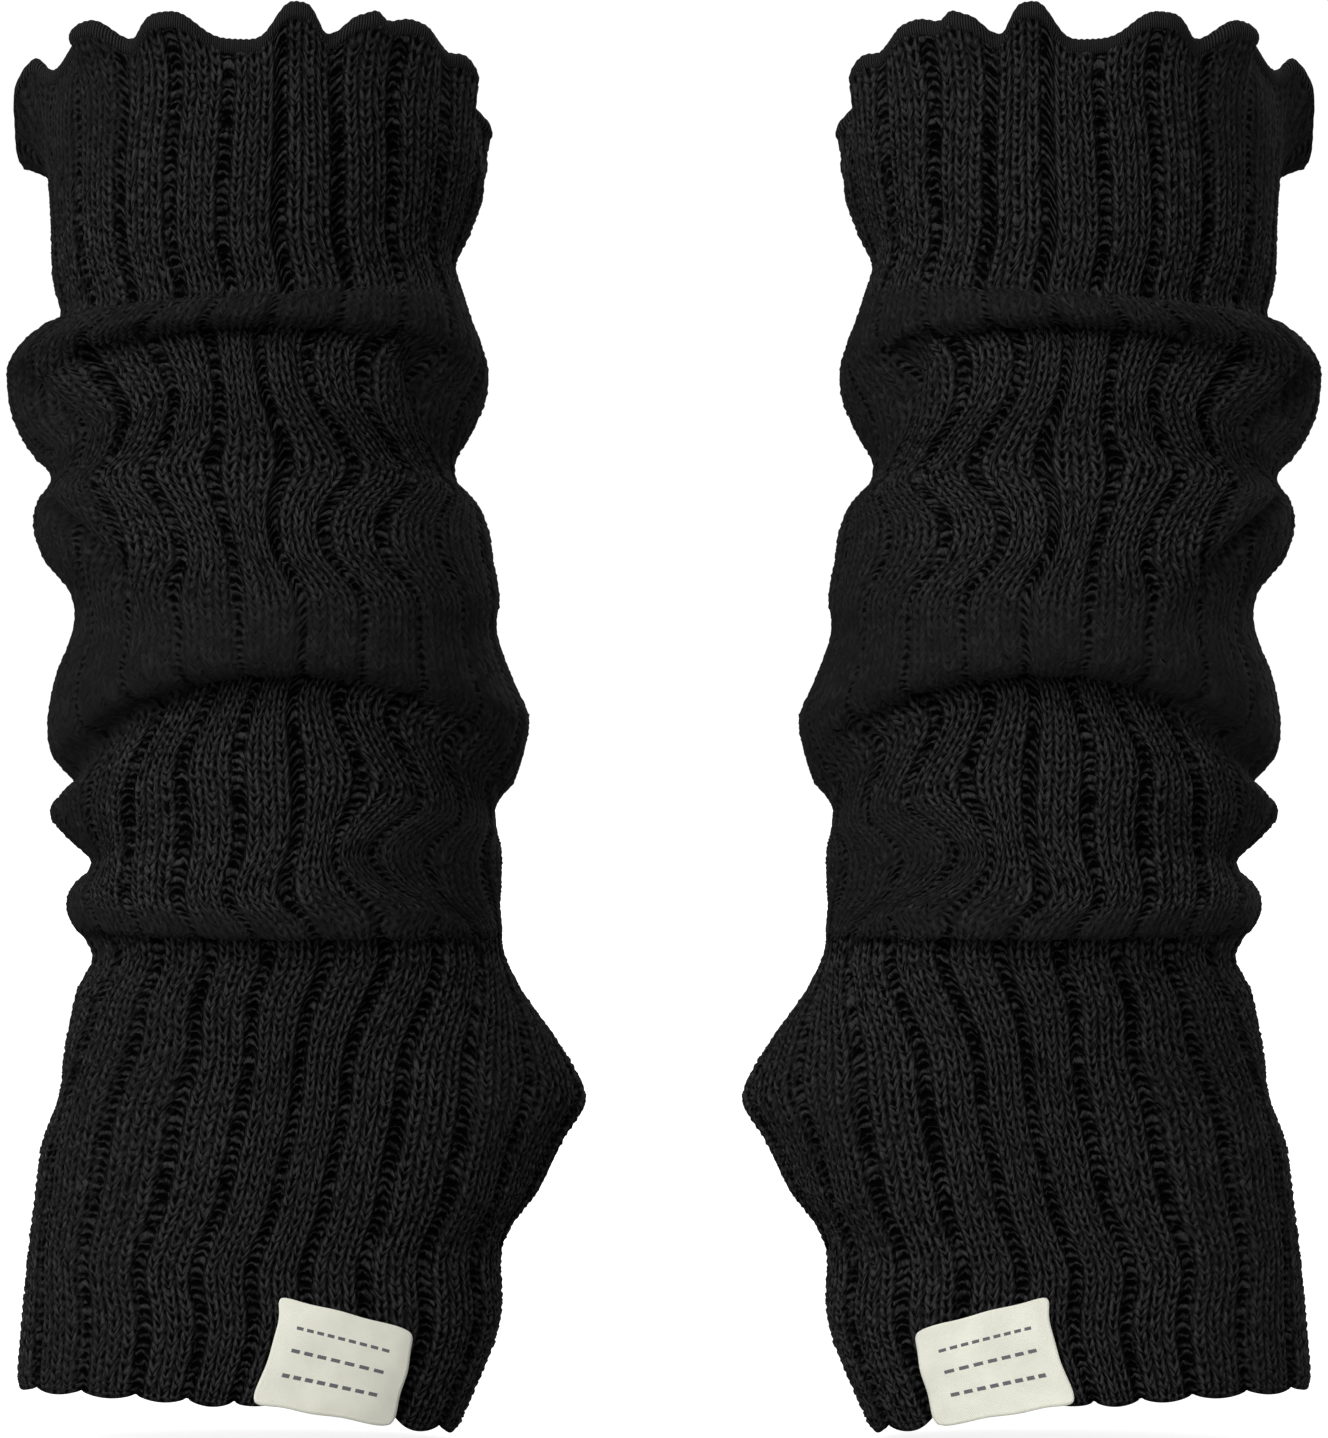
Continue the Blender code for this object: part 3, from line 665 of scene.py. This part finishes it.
def edging_shell():
    """The overlocked edging: a soft bead wrapped in thread, which waves with the frill."""
    turns = np.linspace(0, 360, EDGING_STEPS + 1)[:-1]
    middle = np.full_like(turns, EDGING_PLACE / 2)
    centre = surface(middle, turns)
    down = unit(surface(middle + LOOK_DOWN / 2, turns) - surface(middle - LOOK_DOWN / 2, turns))
    out = outward(middle, turns)
    angles = np.radians(np.arange(EDGING_SIDES + 1) * 360 / EDGING_SIDES)[None, :, None]
    wraps = np.radians(turns)[:, None, None] * EDGING_WRAPS + angles * EDGING_TWIST
    swell = 1 + EDGING_RIDGE * np.cos(wraps)
    high, thick = EDGING_HEIGHT / 2 + EDGING_SWELLS_HIGH, EDGING_THICKNESS / 2 + EDGING_SWELLS_THICK
    centre = centre - out * EDGING_THICKNESS / 2
    ring = -np.cos(angles) * high * down[:, None] + np.sin(angles) * thick * out[:, None]
    points, faces, corners = closed_tube(centre[:, None] + ring * swell)
    return points, [faces[:, ::-1]], [corners[:, ::-1]]


# The labels


def label_shell():
    """The woven label: a thin plate over the hem, with softly waving edges."""
    across, down = np.meshgrid(np.linspace(0, 1, LABEL_COLUMNS + 1), np.linspace(0, 1, LABEL_ROWS + 1))
    from_middle = across * 2 - 1, down * 2 - 1

    def shaped(off, other, along, wave):
        """Places whose ends draw in at the corners and wave between them."""
        drawn = 0.5 + off / 2 * (1 - LABEL_ROUNDING * np.abs(other) ** LABEL_SQUARENESS)
        return drawn + np.sin(along * wave.radians + wave.start) * wave.reach * off

    across = shaped(*from_middle, down, LABEL_SIDE_WAVE)
    down = shaped(*from_middle[::-1], across, LABEL_END_WAVE)

    def mixed(upper_left, upper_right, lower_left, lower_right):
        upper = upper_left + (upper_right - upper_left) * across
        return upper + (lower_left + (lower_right - lower_left) * across - upper) * down

    corners = LABEL_UPPER_LEFT, LABEL_UPPER_RIGHT, LABEL_LOWER_LEFT, LABEL_LOWER_RIGHT
    place, turn = mixed(*(corner.place for corner in corners)), mixed(*(corner.turn for corner in corners))
    edge = np.minimum(np.minimum(across, 1 - across) * LABEL_SHAPE, np.minimum(down, 1 - down))
    puff = LABEL_PUFF * np.sin(across * LABEL_PUFF_ACROSS + down * LABEL_PUFF_DOWN)
    puff = puff * np.clip(edge * LABEL_PUFF_START, LABEL_PUFF_LEAST, 1)
    drop = LABEL_DROP * np.array([0, 0, -1]) * np.clip(down, 0, 1)[..., None] ** LABEL_BEND
    sheets = [cloth(place, turn, LABEL_DEPTH - thick - puff) + drop for thick in (LABEL_THICKNESS, 0.0)]
    front, back = (np.arange(place.size).reshape(place.shape) + n * place.size for n in (0, 1))
    flat = np.stack([across, down], axis=-1).reshape(-1, 2)
    flat = np.concatenate([flat, flat])
    faces = [grid_faces(front), grid_faces(back)[:, ::-1]]
    for _ in range(4):
        faces.append(grid_faces(np.stack([front[0], back[0]]))[:, ::-1])
        front, back = np.rot90(front), np.rot90(back)
    points = np.concatenate([sheet.reshape(-1, 3) for sheet in sheets])
    return points, faces, [flat[group] for group in faces]


# Materials


def put(tree, kind, inputs=(), **settings):
    """Adds a node. inputs gives its sockets' values or what is linked to them."""
    made = tree.nodes.new(kind)
    for name, value in settings.items():
        setattr(made, name, value)
    for key, value in dict(inputs).items():
        if isinstance(value, bpy.types.NodeSocket):
            tree.links.new(value, made.inputs[key])
        else:
            made.inputs[key].default_value = value
    return made


def reckon(operation, *values):
    """One step of arithmetic, in the tree that its linked values stand in."""
    tree = next(value.id_data for value in values if isinstance(value, bpy.types.NodeSocket))
    return put(tree, "ShaderNodeMath", enumerate(values), operation=operation).outputs[0]


def times(*values):
    return reckon("MULTIPLY", *values)


def plus(*values):
    return reckon("ADD", *values)


def minus(*values):
    return reckon("SUBTRACT", *values)


def scaled(value, pair):
    """The value times the pair's first number, plus its second."""
    return reckon("MULTIPLY_ADD", value, *pair)


def yarn_group():
    """Spun yarn on the flat knit, built once: its fibres, and the twist of its plies."""
    if "spun yarn" in bpy.data.node_groups:
        return bpy.data.node_groups["spun yarn"]
    tree = bpy.data.node_groups.new("spun yarn", "ShaderNodeTree")
    for name, way in (("Across", "INPUT"), ("Along", "INPUT"), ("Fibre", "OUTPUT"), ("Height", "OUTPUT")):
        tree.interface.new_socket(name, in_out=way, socket_type="NodeSocketFloat")
    given, result = tree.nodes.new("NodeGroupInput"), tree.nodes.new("NodeGroupOutput")
    across, along = given.outputs["Across"], given.outputs["Along"]
    where = {"X": times(across, FIBRES_ACROSS), "Y": times(along, FIBRES_ALONG)}
    where = put(tree, "ShaderNodeCombineXYZ", where).outputs[0]
    fibre = put(tree, "ShaderNodeTexNoise", {"Vector": where, "Scale": 1.0, "Detail": 3.0, "Roughness": 0.7})
    ply = plus(times(along, PLIES_ALONG), times(across, PLIES_ACROSS))
    height = plus(times(wave_of("SINE", ply, 1), PLY_HEIGHT), fibre.outputs["Fac"])
    tree.links.new(fibre.outputs["Fac"], result.inputs["Fibre"])
    tree.links.new(height, result.inputs["Height"])
    return tree


def new_material(name, roughness, sheen, specular):
    """A new material, its node tree and its shader."""
    material = bpy.data.materials.new(name)
    material.use_nodes = True
    shader = material.node_tree.nodes["Principled BSDF"]
    shader.inputs["Roughness"].default_value = roughness
    shader.inputs["Specular IOR Level"].default_value = specular
    shader.inputs["Sheen Weight"].default_value = sheen
    shader.inputs["Sheen Roughness"].default_value = 0.6
    return material, material.node_tree, shader


def bump(tree, shader, height, strength, distance):
    """Fine relief that isn't in the mesh. The distance is in metres."""
    bumps = put(tree, "ShaderNodeBump", {"Height": height, "Strength": strength, "Distance": distance})
    tree.links.new(bumps.outputs["Normal"], shader.inputs["Normal"])


def flat_place(tree, wide, long):
    """The place on the flat knit, counted in wales and courses or in other steps."""
    split = put(tree, "ShaderNodeSeparateXYZ", {0: put(tree, "ShaderNodeUVMap", uv_map="knit").outputs[0]})
    return (times(split.outputs[axis], float(count)) for axis, count in (("X", wide), ("Y", long)))


def strayed(tree, across, along, reach_across, reach_along):
    """The same place, moved a little by noise as large as a stitch, so that no two stitches are alike."""
    where = put(tree, "ShaderNodeCombineXYZ", {"X": across, "Y": along}).outputs[0]
    noise = put(tree, "ShaderNodeTexNoise", {"Vector": where, "Scale": 0.9, "Detail": 2.0}).outputs["Color"]
    split = put(tree, "ShaderNodeSeparateColor", {0: noise})
    moved = []
    for value, channel, reach in ((across, "Red", reach_across), (along, "Green", reach_along)):
        shift = times(minus(split.outputs[channel], 0.5), reach)
        moved.append(plus(value, shift))
    return moved


def wave_of(operation, value, turns):
    """The sine or cosine that turns so often for each step of the value."""
    return reckon(operation, times(value, turns * 2 * np.pi))


def ramp_between(tree, value, *stops):
    """A ramp of colours. The first stop is the lowest, the second the highest, and the others lie between."""
    ramp = put(tree, "ShaderNodeValToRGB", {"Fac": value})
    for number, (position, colour) in enumerate(stops):
        elements = ramp.color_ramp.elements
        element = elements[number] if number < 2 else elements.new(position)
        element.position, element.color = position, (*colour, 1)
    return ramp.outputs["Color"]


def black_with_painted_light(tree, shader, light, settings, places):
    """The yarn's black at three places of light: painted shade in gaps, its own colour, painted highlights.
    """
    gap, yarn, fibre = places
    # The gap stop is painted shade, and the fibre stop a painted highlight.
    stops = (gap, settings.gap_shade_colour), (fibre, settings.fibre_highlight_colour), (yarn, settings.yarn_colour)
    tree.links.new(ramp_between(tree, light, *stops), shader.inputs["Base Color"])


def knit_material(settings):
    """Black 3x1 rib: knit stitches on the ribs, purl arches in the valleys, with painted light and shade."""
    material, tree, shader = new_material("black rib knit", 0.9, settings.sheen, settings.gloss)
    across, along = strayed(tree, *flat_place(tree, WALES, COURSES), *STITCH_STRAY)
    stitch = {"X": reckon("FLOOR", across), "Y": reckon("FLOOR", along)}
    stitch = put(tree, "ShaderNodeCombineXYZ", stitch).outputs[0]
    chance = put(tree, "ShaderNodeTexWhiteNoise", {"Vector": stitch}, noise_dimensions="2D").outputs["Value"]
    calm = put(tree, "ShaderNodeAttribute", attribute_name="calm").outputs["Fac"]
    rows = reckon("ABSOLUTE", wave_of("SINE", along, 0.5))
    # Painted shade in the gaps between the legs, and a painted highlight along them
    knit = painted_knit_shade(across, along, rows, chance)
    # Smooth cloth takes an even tone in place of the painted stitch shade
    knit = plus(knit, times(calm, minus(CALM_SHADE, knit)))
    # Purl arches with painted highlights, and painted shade between them in the valleys
    arches = reckon("POWER", rows, scaled(chance, ARCH_SHARPNESS))
    arches = times(arches, scaled(chance, ARCH_SHADE))
    valley = valley_shade_mask(tree, across, along, calm)
    shade = plus(knit, times(valley, minus(arches, knit)))
    yarn = put(tree, "ShaderNodeGroup", {"Across": across, "Along": along}, node_tree=yarn_group())
    fuzz = scaled(calm, FUZZ)
    fuzz = reckon("MULTIPLY_ADD", minus(yarn.outputs["Fibre"], 0.5), fuzz, 1.0)
    light = times(shade, scaled(chance, CHANCE_SHADE))
    # The power keeps the painted highlights small and rare
    light = reckon("POWER", times(light, fuzz), TONE_POWER)
    black_with_painted_light(tree, shader, light, settings, (0.0, YARN_TONE, 1.0))
    height = plus(times(shade, KNIT_HEIGHT), times(yarn.outputs["Height"], FIBRE_HEIGHT))
    bump(tree, shader, height, 0.7, 0.0003)
    return material


def painted_knit_shade(across, along, rows, chance):
    """Painted shade and highlights of a knit stitch: two legs, with shaded gaps darkest where stitches meet.
    """
    legs = reckon("POWER", reckon("ABSOLUTE", wave_of("SINE", across, 1)), LEG_SHARPNESS)
    leg_shade = scaled(rows, LEG_SHADE)
    dots = times(wave_of("COSINE", across, 1), wave_of("COSINE", along, 1))
    gap_shade = scaled(dots, GAP_SHADE)
    gap_depth = times(minus(leg_shade, gap_shade), scaled(chance, GAP_CHANCE))
    return minus(leg_shade, times(minus(1.0, legs), gap_depth))


def valley_shade_mask(tree, across, along, calm):
    """Where the purl valleys take painted shade. They vary in width, and are narrow and faint on smooth
    cloth.
    """
    patch = {"X": times(across, PATCH_ACROSS), "Y": times(along, PATCH_ALONG)}
    patch = put(tree, "ShaderNodeCombineXYZ", patch).outputs[0]
    patch = put(tree, "ShaderNodeTexNoise", {"Vector": patch, "Scale": 1.0, "Detail": 2.0}).outputs["Fac"]
    rib = reckon("FRACT", reckon("DIVIDE", across, float(RIB_WALES)))
    from_valley = reckon("ABSOLUTE", minus(times(rib, float(RIB_WALES)), PURL_WALE + 0.5))
    width = reckon("MULTIPLY_ADD", calm, CALM_NARROWS, scaled(patch, VALLEY_WIDTH))
    valley = reckon("MULTIPLY_ADD", from_valley, VALLEY_EDGE, width)
    valley = reckon("MINIMUM", reckon("MAXIMUM", valley, 0.0), 1.0)
    return times(valley, scaled(calm, CALM_FADES))


def thread_material(settings):
    """Black overlock thread, wound closely round the edging, with painted shade between wraps and highlights
    on them.
    """
    material, tree, shader = new_material("black overlock thread", 0.85, settings.sheen, settings.gloss)
    across, along = flat_place(tree, THREAD_ROWS, EDGING_WRAPS * THREAD_STRANDS)
    yarn = put(tree, "ShaderNodeGroup", {"Across": across, "Along": along}, node_tree=yarn_group())
    slanted = reckon("MULTIPLY_ADD", across, THREAD_SLANT, along)
    wraps = reckon("ABSOLUTE", wave_of("SINE", slanted, 0.5))
    # Painted shade between the wraps, and painted highlights on their tops
    light = times(scaled(wraps, THREAD_SHADE), plus(yarn.outputs["Fibre"], THREAD_FUZZ))
    black_with_painted_light(tree, shader, light, settings, (0.12, 0.6, 0.95))
    bump(tree, shader, wraps, 0.5, 0.0002)
    return material


def label_material(settings):
    """Cream woven tape with three rows of plain stitches across it."""
    material, tree, shader = new_material("cream woven label", 0.75, 0.1, 0.3)
    across, down = flat_place(tree, 1, 1)
    weave = times(wave_of("SINE", across, LABEL_WARPS), wave_of("SINE", down, LABEL_WEFTS))
    body = put(tree, "ShaderNodeTexCoord")
    soft = put(tree, "ShaderNodeTexNoise", {"Vector": body.outputs["Object"], "Scale": 140.0, "Detail": 4.0})
    dashes = None
    for middle, count in LABEL_DASHES:
        near = reckon("ABSOLUTE", minus(down, middle))
        along = times(minus(across, LABEL_MARGIN), count / (1 - 2 * LABEL_MARGIN))
        gap = reckon("ABSOLUTE", minus(reckon("FRACT", along), 0.5))
        ends = reckon("ABSOLUTE", minus(across, 0.5))
        limits = (near, DASH_HALF_HEIGHT), (gap, DASH_HALF_LENGTH), (ends, 0.5 - LABEL_MARGIN)
        near, gap, ends = (reckon("LESS_THAN", value, limit) for value, limit in limits)
        dash = times(times(near, gap), ends)
        dashes = dash if dashes is None else reckon("MAXIMUM", dashes, dash)
    tone = plus(times(weave, WEAVE_TONE), soft.outputs["Fac"])
    shaded = [LABEL_SHADE * channel for channel in settings.colour]
    mix = put(tree, "ShaderNodeMix", {"Factor": dashes}, data_type="RGBA")
    tree.links.new(ramp_between(tree, tone, (0.25, shaded), (0.75, settings.colour)), mix.inputs[6])
    mix.inputs[7].default_value = (*settings.thread_colour, 1)
    tree.links.new(mix.outputs[2], shader.inputs["Base Color"])
    bump(tree, shader, plus(weave, times(dashes, DASH_RELIEF)), 0.5, 0.0001)
    return material


# The stage


def add_floor():
    """A pale plain floor below the hems, which shows white to the camera."""
    reach, level = FLOOR_REACH, CAD_BOX[0][2] - FLOOR_GAP
    corners = [(x, y, level) for x, y in ((-reach, -reach), (reach, -reach), (reach, reach), (-reach, reach))]
    floor = bpy.data.meshes.new("floor")
    floor.from_pydata(corners, [], [(0, 1, 2, 3)])
    material, tree, shader = new_material("pale floor", 0.9, 0.0, 0.0)
    shader.inputs["Base Color"].default_value = (FLOOR_TONE, FLOOR_TONE, FLOOR_TONE, 1)
    shader.inputs["Emission Color"].default_value = (1, 1, 1, 1)
    seen_by = put(tree, "ShaderNodeLightPath").outputs["Is Camera Ray"]
    tree.links.new(times(seen_by, FLOOR_GLOW), shader.inputs["Emission Strength"])
    floor.materials.append(material)
    floor_object = bpy.data.objects.new("floor", floor)
    bpy.context.scene.collection.objects.link(floor_object)


def add_daylight(strength):
    """Even white light all round, with plain white behind the part."""
    world = bpy.data.worlds.new("studio")
    world.use_nodes = True
    tree = world.node_tree
    seen_by = put(tree, "ShaderNodeLightPath").outputs["Is Camera Ray"]
    background = tree.nodes["Background"]
    background.inputs["Color"].default_value = (1, 1, 1, 1)
    tree.links.new(scaled(seen_by, (BACKDROP - strength, strength)), background.inputs["Strength"])
    bpy.context.scene.world = world


def add_sun(name, strength, whence):
    """Soft light from one direction."""
    light = bpy.data.lights.new(name, "SUN")
    light.energy, light.angle = strength, LIGHT_SPREAD
    lamp = bpy.data.objects.new(name, light)
    lamp.rotation_euler = Vector(whence).to_track_quat("Z", "Y").to_euler()
    bpy.context.scene.collection.objects.link(lamp)


def add_camera():
    """The photograph's view: level, from the front, and at its scale."""
    scene = bpy.context.scene
    camera = bpy.data.cameras.new("photograph")
    camera.sensor_fit = "VERTICAL"
    camera.sensor_height = SENSOR
    camera.lens = SENSOR * CAMERA_DISTANCE / (PHOTO_HEIGHT * PIXEL)
    camera.clip_start = NEAREST
    seen = bpy.data.objects.new("photograph", camera)
    seen.location = (AIM[0], -CAMERA_DISTANCE, AIM[2])
    seen.rotation_euler = (np.pi / 2, 0, 0)
    scene.collection.objects.link(seen)
    scene.camera = seen
    scene.view_settings.view_transform = "Standard"


# Settings and operators


class KnitSettings(bpy.types.PropertyGroup):
    relief: bpy.props.FloatProperty(
        name="Relief", description="Depth of the stitches, as a share of the real one",
        default=1.0, min=0.0, max=2.0,
    )
    unevenness: bpy.props.FloatProperty(
        name="Unevenness", description="How far stitches stray from even rows, in courses",
        default=0.15, min=0.0, max=0.3,
    )
    seed: bpy.props.IntProperty(
        name="Seed", description="Which uneven knit is made", default=7, min=0
    )
    sheen: bpy.props.FloatProperty(
        name="Sheen", description="Soft glow of the yarn's fuzz at grazing angles",
        subtype="FACTOR", default=0.006, min=0.0, max=1.0,
    )
    gloss: bpy.props.FloatProperty(
        name="Gloss", description="Mirror-like share of the light on the yarn",
        subtype="FACTOR", default=0.02, min=0.0, max=1.0,
    )
    # Painted shade between the strands and between the thread's wraps
    gap_shade_colour: bpy.props.FloatVectorProperty(
        name="Gap shade colour", description="Painted shade between the strands",
        subtype="COLOR", size=3, default=(0.0002, 0.0002, 0.0002), min=0, max=1,
    )
    yarn_colour: bpy.props.FloatVectorProperty(
        name="Yarn colour", description="The yarn's own colour",
        subtype="COLOR", size=3, default=(0.0026, 0.0026, 0.0027), min=0, max=1,
    )
    # Painted highlights on the strands and wraps, among the palest fibres
    fibre_highlight_colour: bpy.props.FloatVectorProperty(
        name="Fibre highlight colour", description="Painted highlights on the palest fibres",
        subtype="COLOR", size=3, default=(0.034, 0.034, 0.0345), min=0, max=1,
    )


class LabelSettings(bpy.types.PropertyGroup):
    colour: bpy.props.FloatVectorProperty(
        name="Label colour", description="The woven tape",
        subtype="COLOR", size=3, default=(0.80, 0.80, 0.69), min=0, max=1,
    )
    thread_colour: bpy.props.FloatVectorProperty(
        name="Stitch colour", description="The rows of plain stitches on the label",
        subtype="COLOR", size=3, default=(0.12, 0.12, 0.13), min=0, max=1,
    )


class StageSettings(bpy.types.PropertyGroup):
    daylight: bpy.props.FloatProperty(
        name="Daylight", description="Strength of the even white light all round",
        default=0.5, min=0.0, max=5.0,
    )
    key: bpy.props.FloatProperty(
        name="Key light", description="Strength of the soft light from above the front",
        default=2.6, min=0.0, max=20.0,
    )
    back: bpy.props.FloatProperty(
        name="Back light", description="Strength of the soft light from behind",
        default=1.4, min=0.0, max=20.0,
    )


class ARMWARMER_OT_sleeves(bpy.types.Operator):
    """Knit both sleeves stitch by stitch, each in three lengths that meet inside its folds"""

    bl_idname = "armwarmer.sleeves"
    bl_label = "Sleeves"

    def execute(self, context):
        settings = context.scene.knit_settings
        material = knit_material(settings)
        knit = Knit(settings)
        front = int(np.argmin(np.abs(away(knit.turns[0], 0))))
        ends = 0, knit.course_at(CUFF_END, front), knit.course_at(HAND_START, front), COURSES
        for name, first, last in zip(("cuff", "slouch", "hand"), ends, ends[1:]):
            shell, calm = knit.part(first, last)
            if last == COURSES:
                bead = knit.slit_bead()
                shell, calm = joined(shell, bead), np.append(calm, np.ones(len(bead[0])))
            for piece in add_pair(f"sleeve_{name}", "sleeve", "knit", *shell, material, calm):
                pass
        return {"FINISHED"}


class ARMWARMER_OT_edging(bpy.types.Operator):
    """Wrap the frilled top edges in overlock thread"""

    bl_idname = "armwarmer.edging"
    bl_label = "Frilled edging"

    def execute(self, context):
        material = thread_material(context.scene.knit_settings)
        add_pair("frill_bead", "frill_edge", "overlock", *edging_shell(), material)
        return {"FINISHED"}


class ARMWARMER_OT_labels(bpy.types.Operator):
    """Sew the woven labels over the hems"""

    bl_idname = "armwarmer.labels"
    bl_label = "Hem labels"

    def execute(self, context):
        material = label_material(context.scene.label_settings)
        for piece in add_pair("woven_label", "label", "label", *label_shell(), material):
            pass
        return {"FINISHED"}


class ARMWARMER_OT_stage(bpy.types.Operator):
    """Set the pale floor, the soft studio light and the photograph's camera"""

    bl_idname = "armwarmer.stage"
    bl_label = "Stage, light and camera"

    def execute(self, context):
        settings = context.scene.stage_settings
        add_floor()
        add_daylight(settings.daylight)
        add_sun("key light", settings.key, KEY_FROM)
        add_sun("back light", settings.back, BACK_FROM)
        add_camera()
        return {"FINISHED"}


class ARMWARMER_PT_panel(bpy.types.Panel):
    """The arm warmers' pieces and their settings"""

    bl_idname = "ARMWARMER_PT_panel"
    bl_label = "Arm warmers"
    bl_space_type = "VIEW_3D"
    bl_region_type = "UI"
    bl_category = "Arm warmers"

    def draw(self, context):
        for group, kind in SETTINGS.items():
            box = self.layout.box()
            for name in kind.__annotations__:
                box.prop(getattr(context.scene, group), name)
        for operator in OPERATORS:
            self.layout.operator(operator.bl_idname)


OPERATORS = (ARMWARMER_OT_stage, ARMWARMER_OT_sleeves, ARMWARMER_OT_edging, ARMWARMER_OT_labels)
SETTINGS = {"knit_settings": KnitSettings, "label_settings": LabelSettings, "stage_settings": StageSettings}
CLASSES = (*SETTINGS.values(), *OPERATORS, ARMWARMER_PT_panel)


def register():
    for cls in CLASSES:
        bpy.utils.register_class(cls)
    for name, kind in SETTINGS.items():
        setattr(bpy.types.Scene, name, bpy.props.PointerProperty(type=kind))


def unregister():
    for name in SETTINGS:
        delattr(bpy.types.Scene, name)
    for cls in reversed(CLASSES):
        bpy.utils.unregister_class(cls)


def main():
    register()
    bpy.ops.armwarmer.stage()
    bpy.ops.armwarmer.sleeves()
    bpy.ops.armwarmer.edging()
    bpy.ops.armwarmer.labels()


if __name__ == "__main__":
    main()
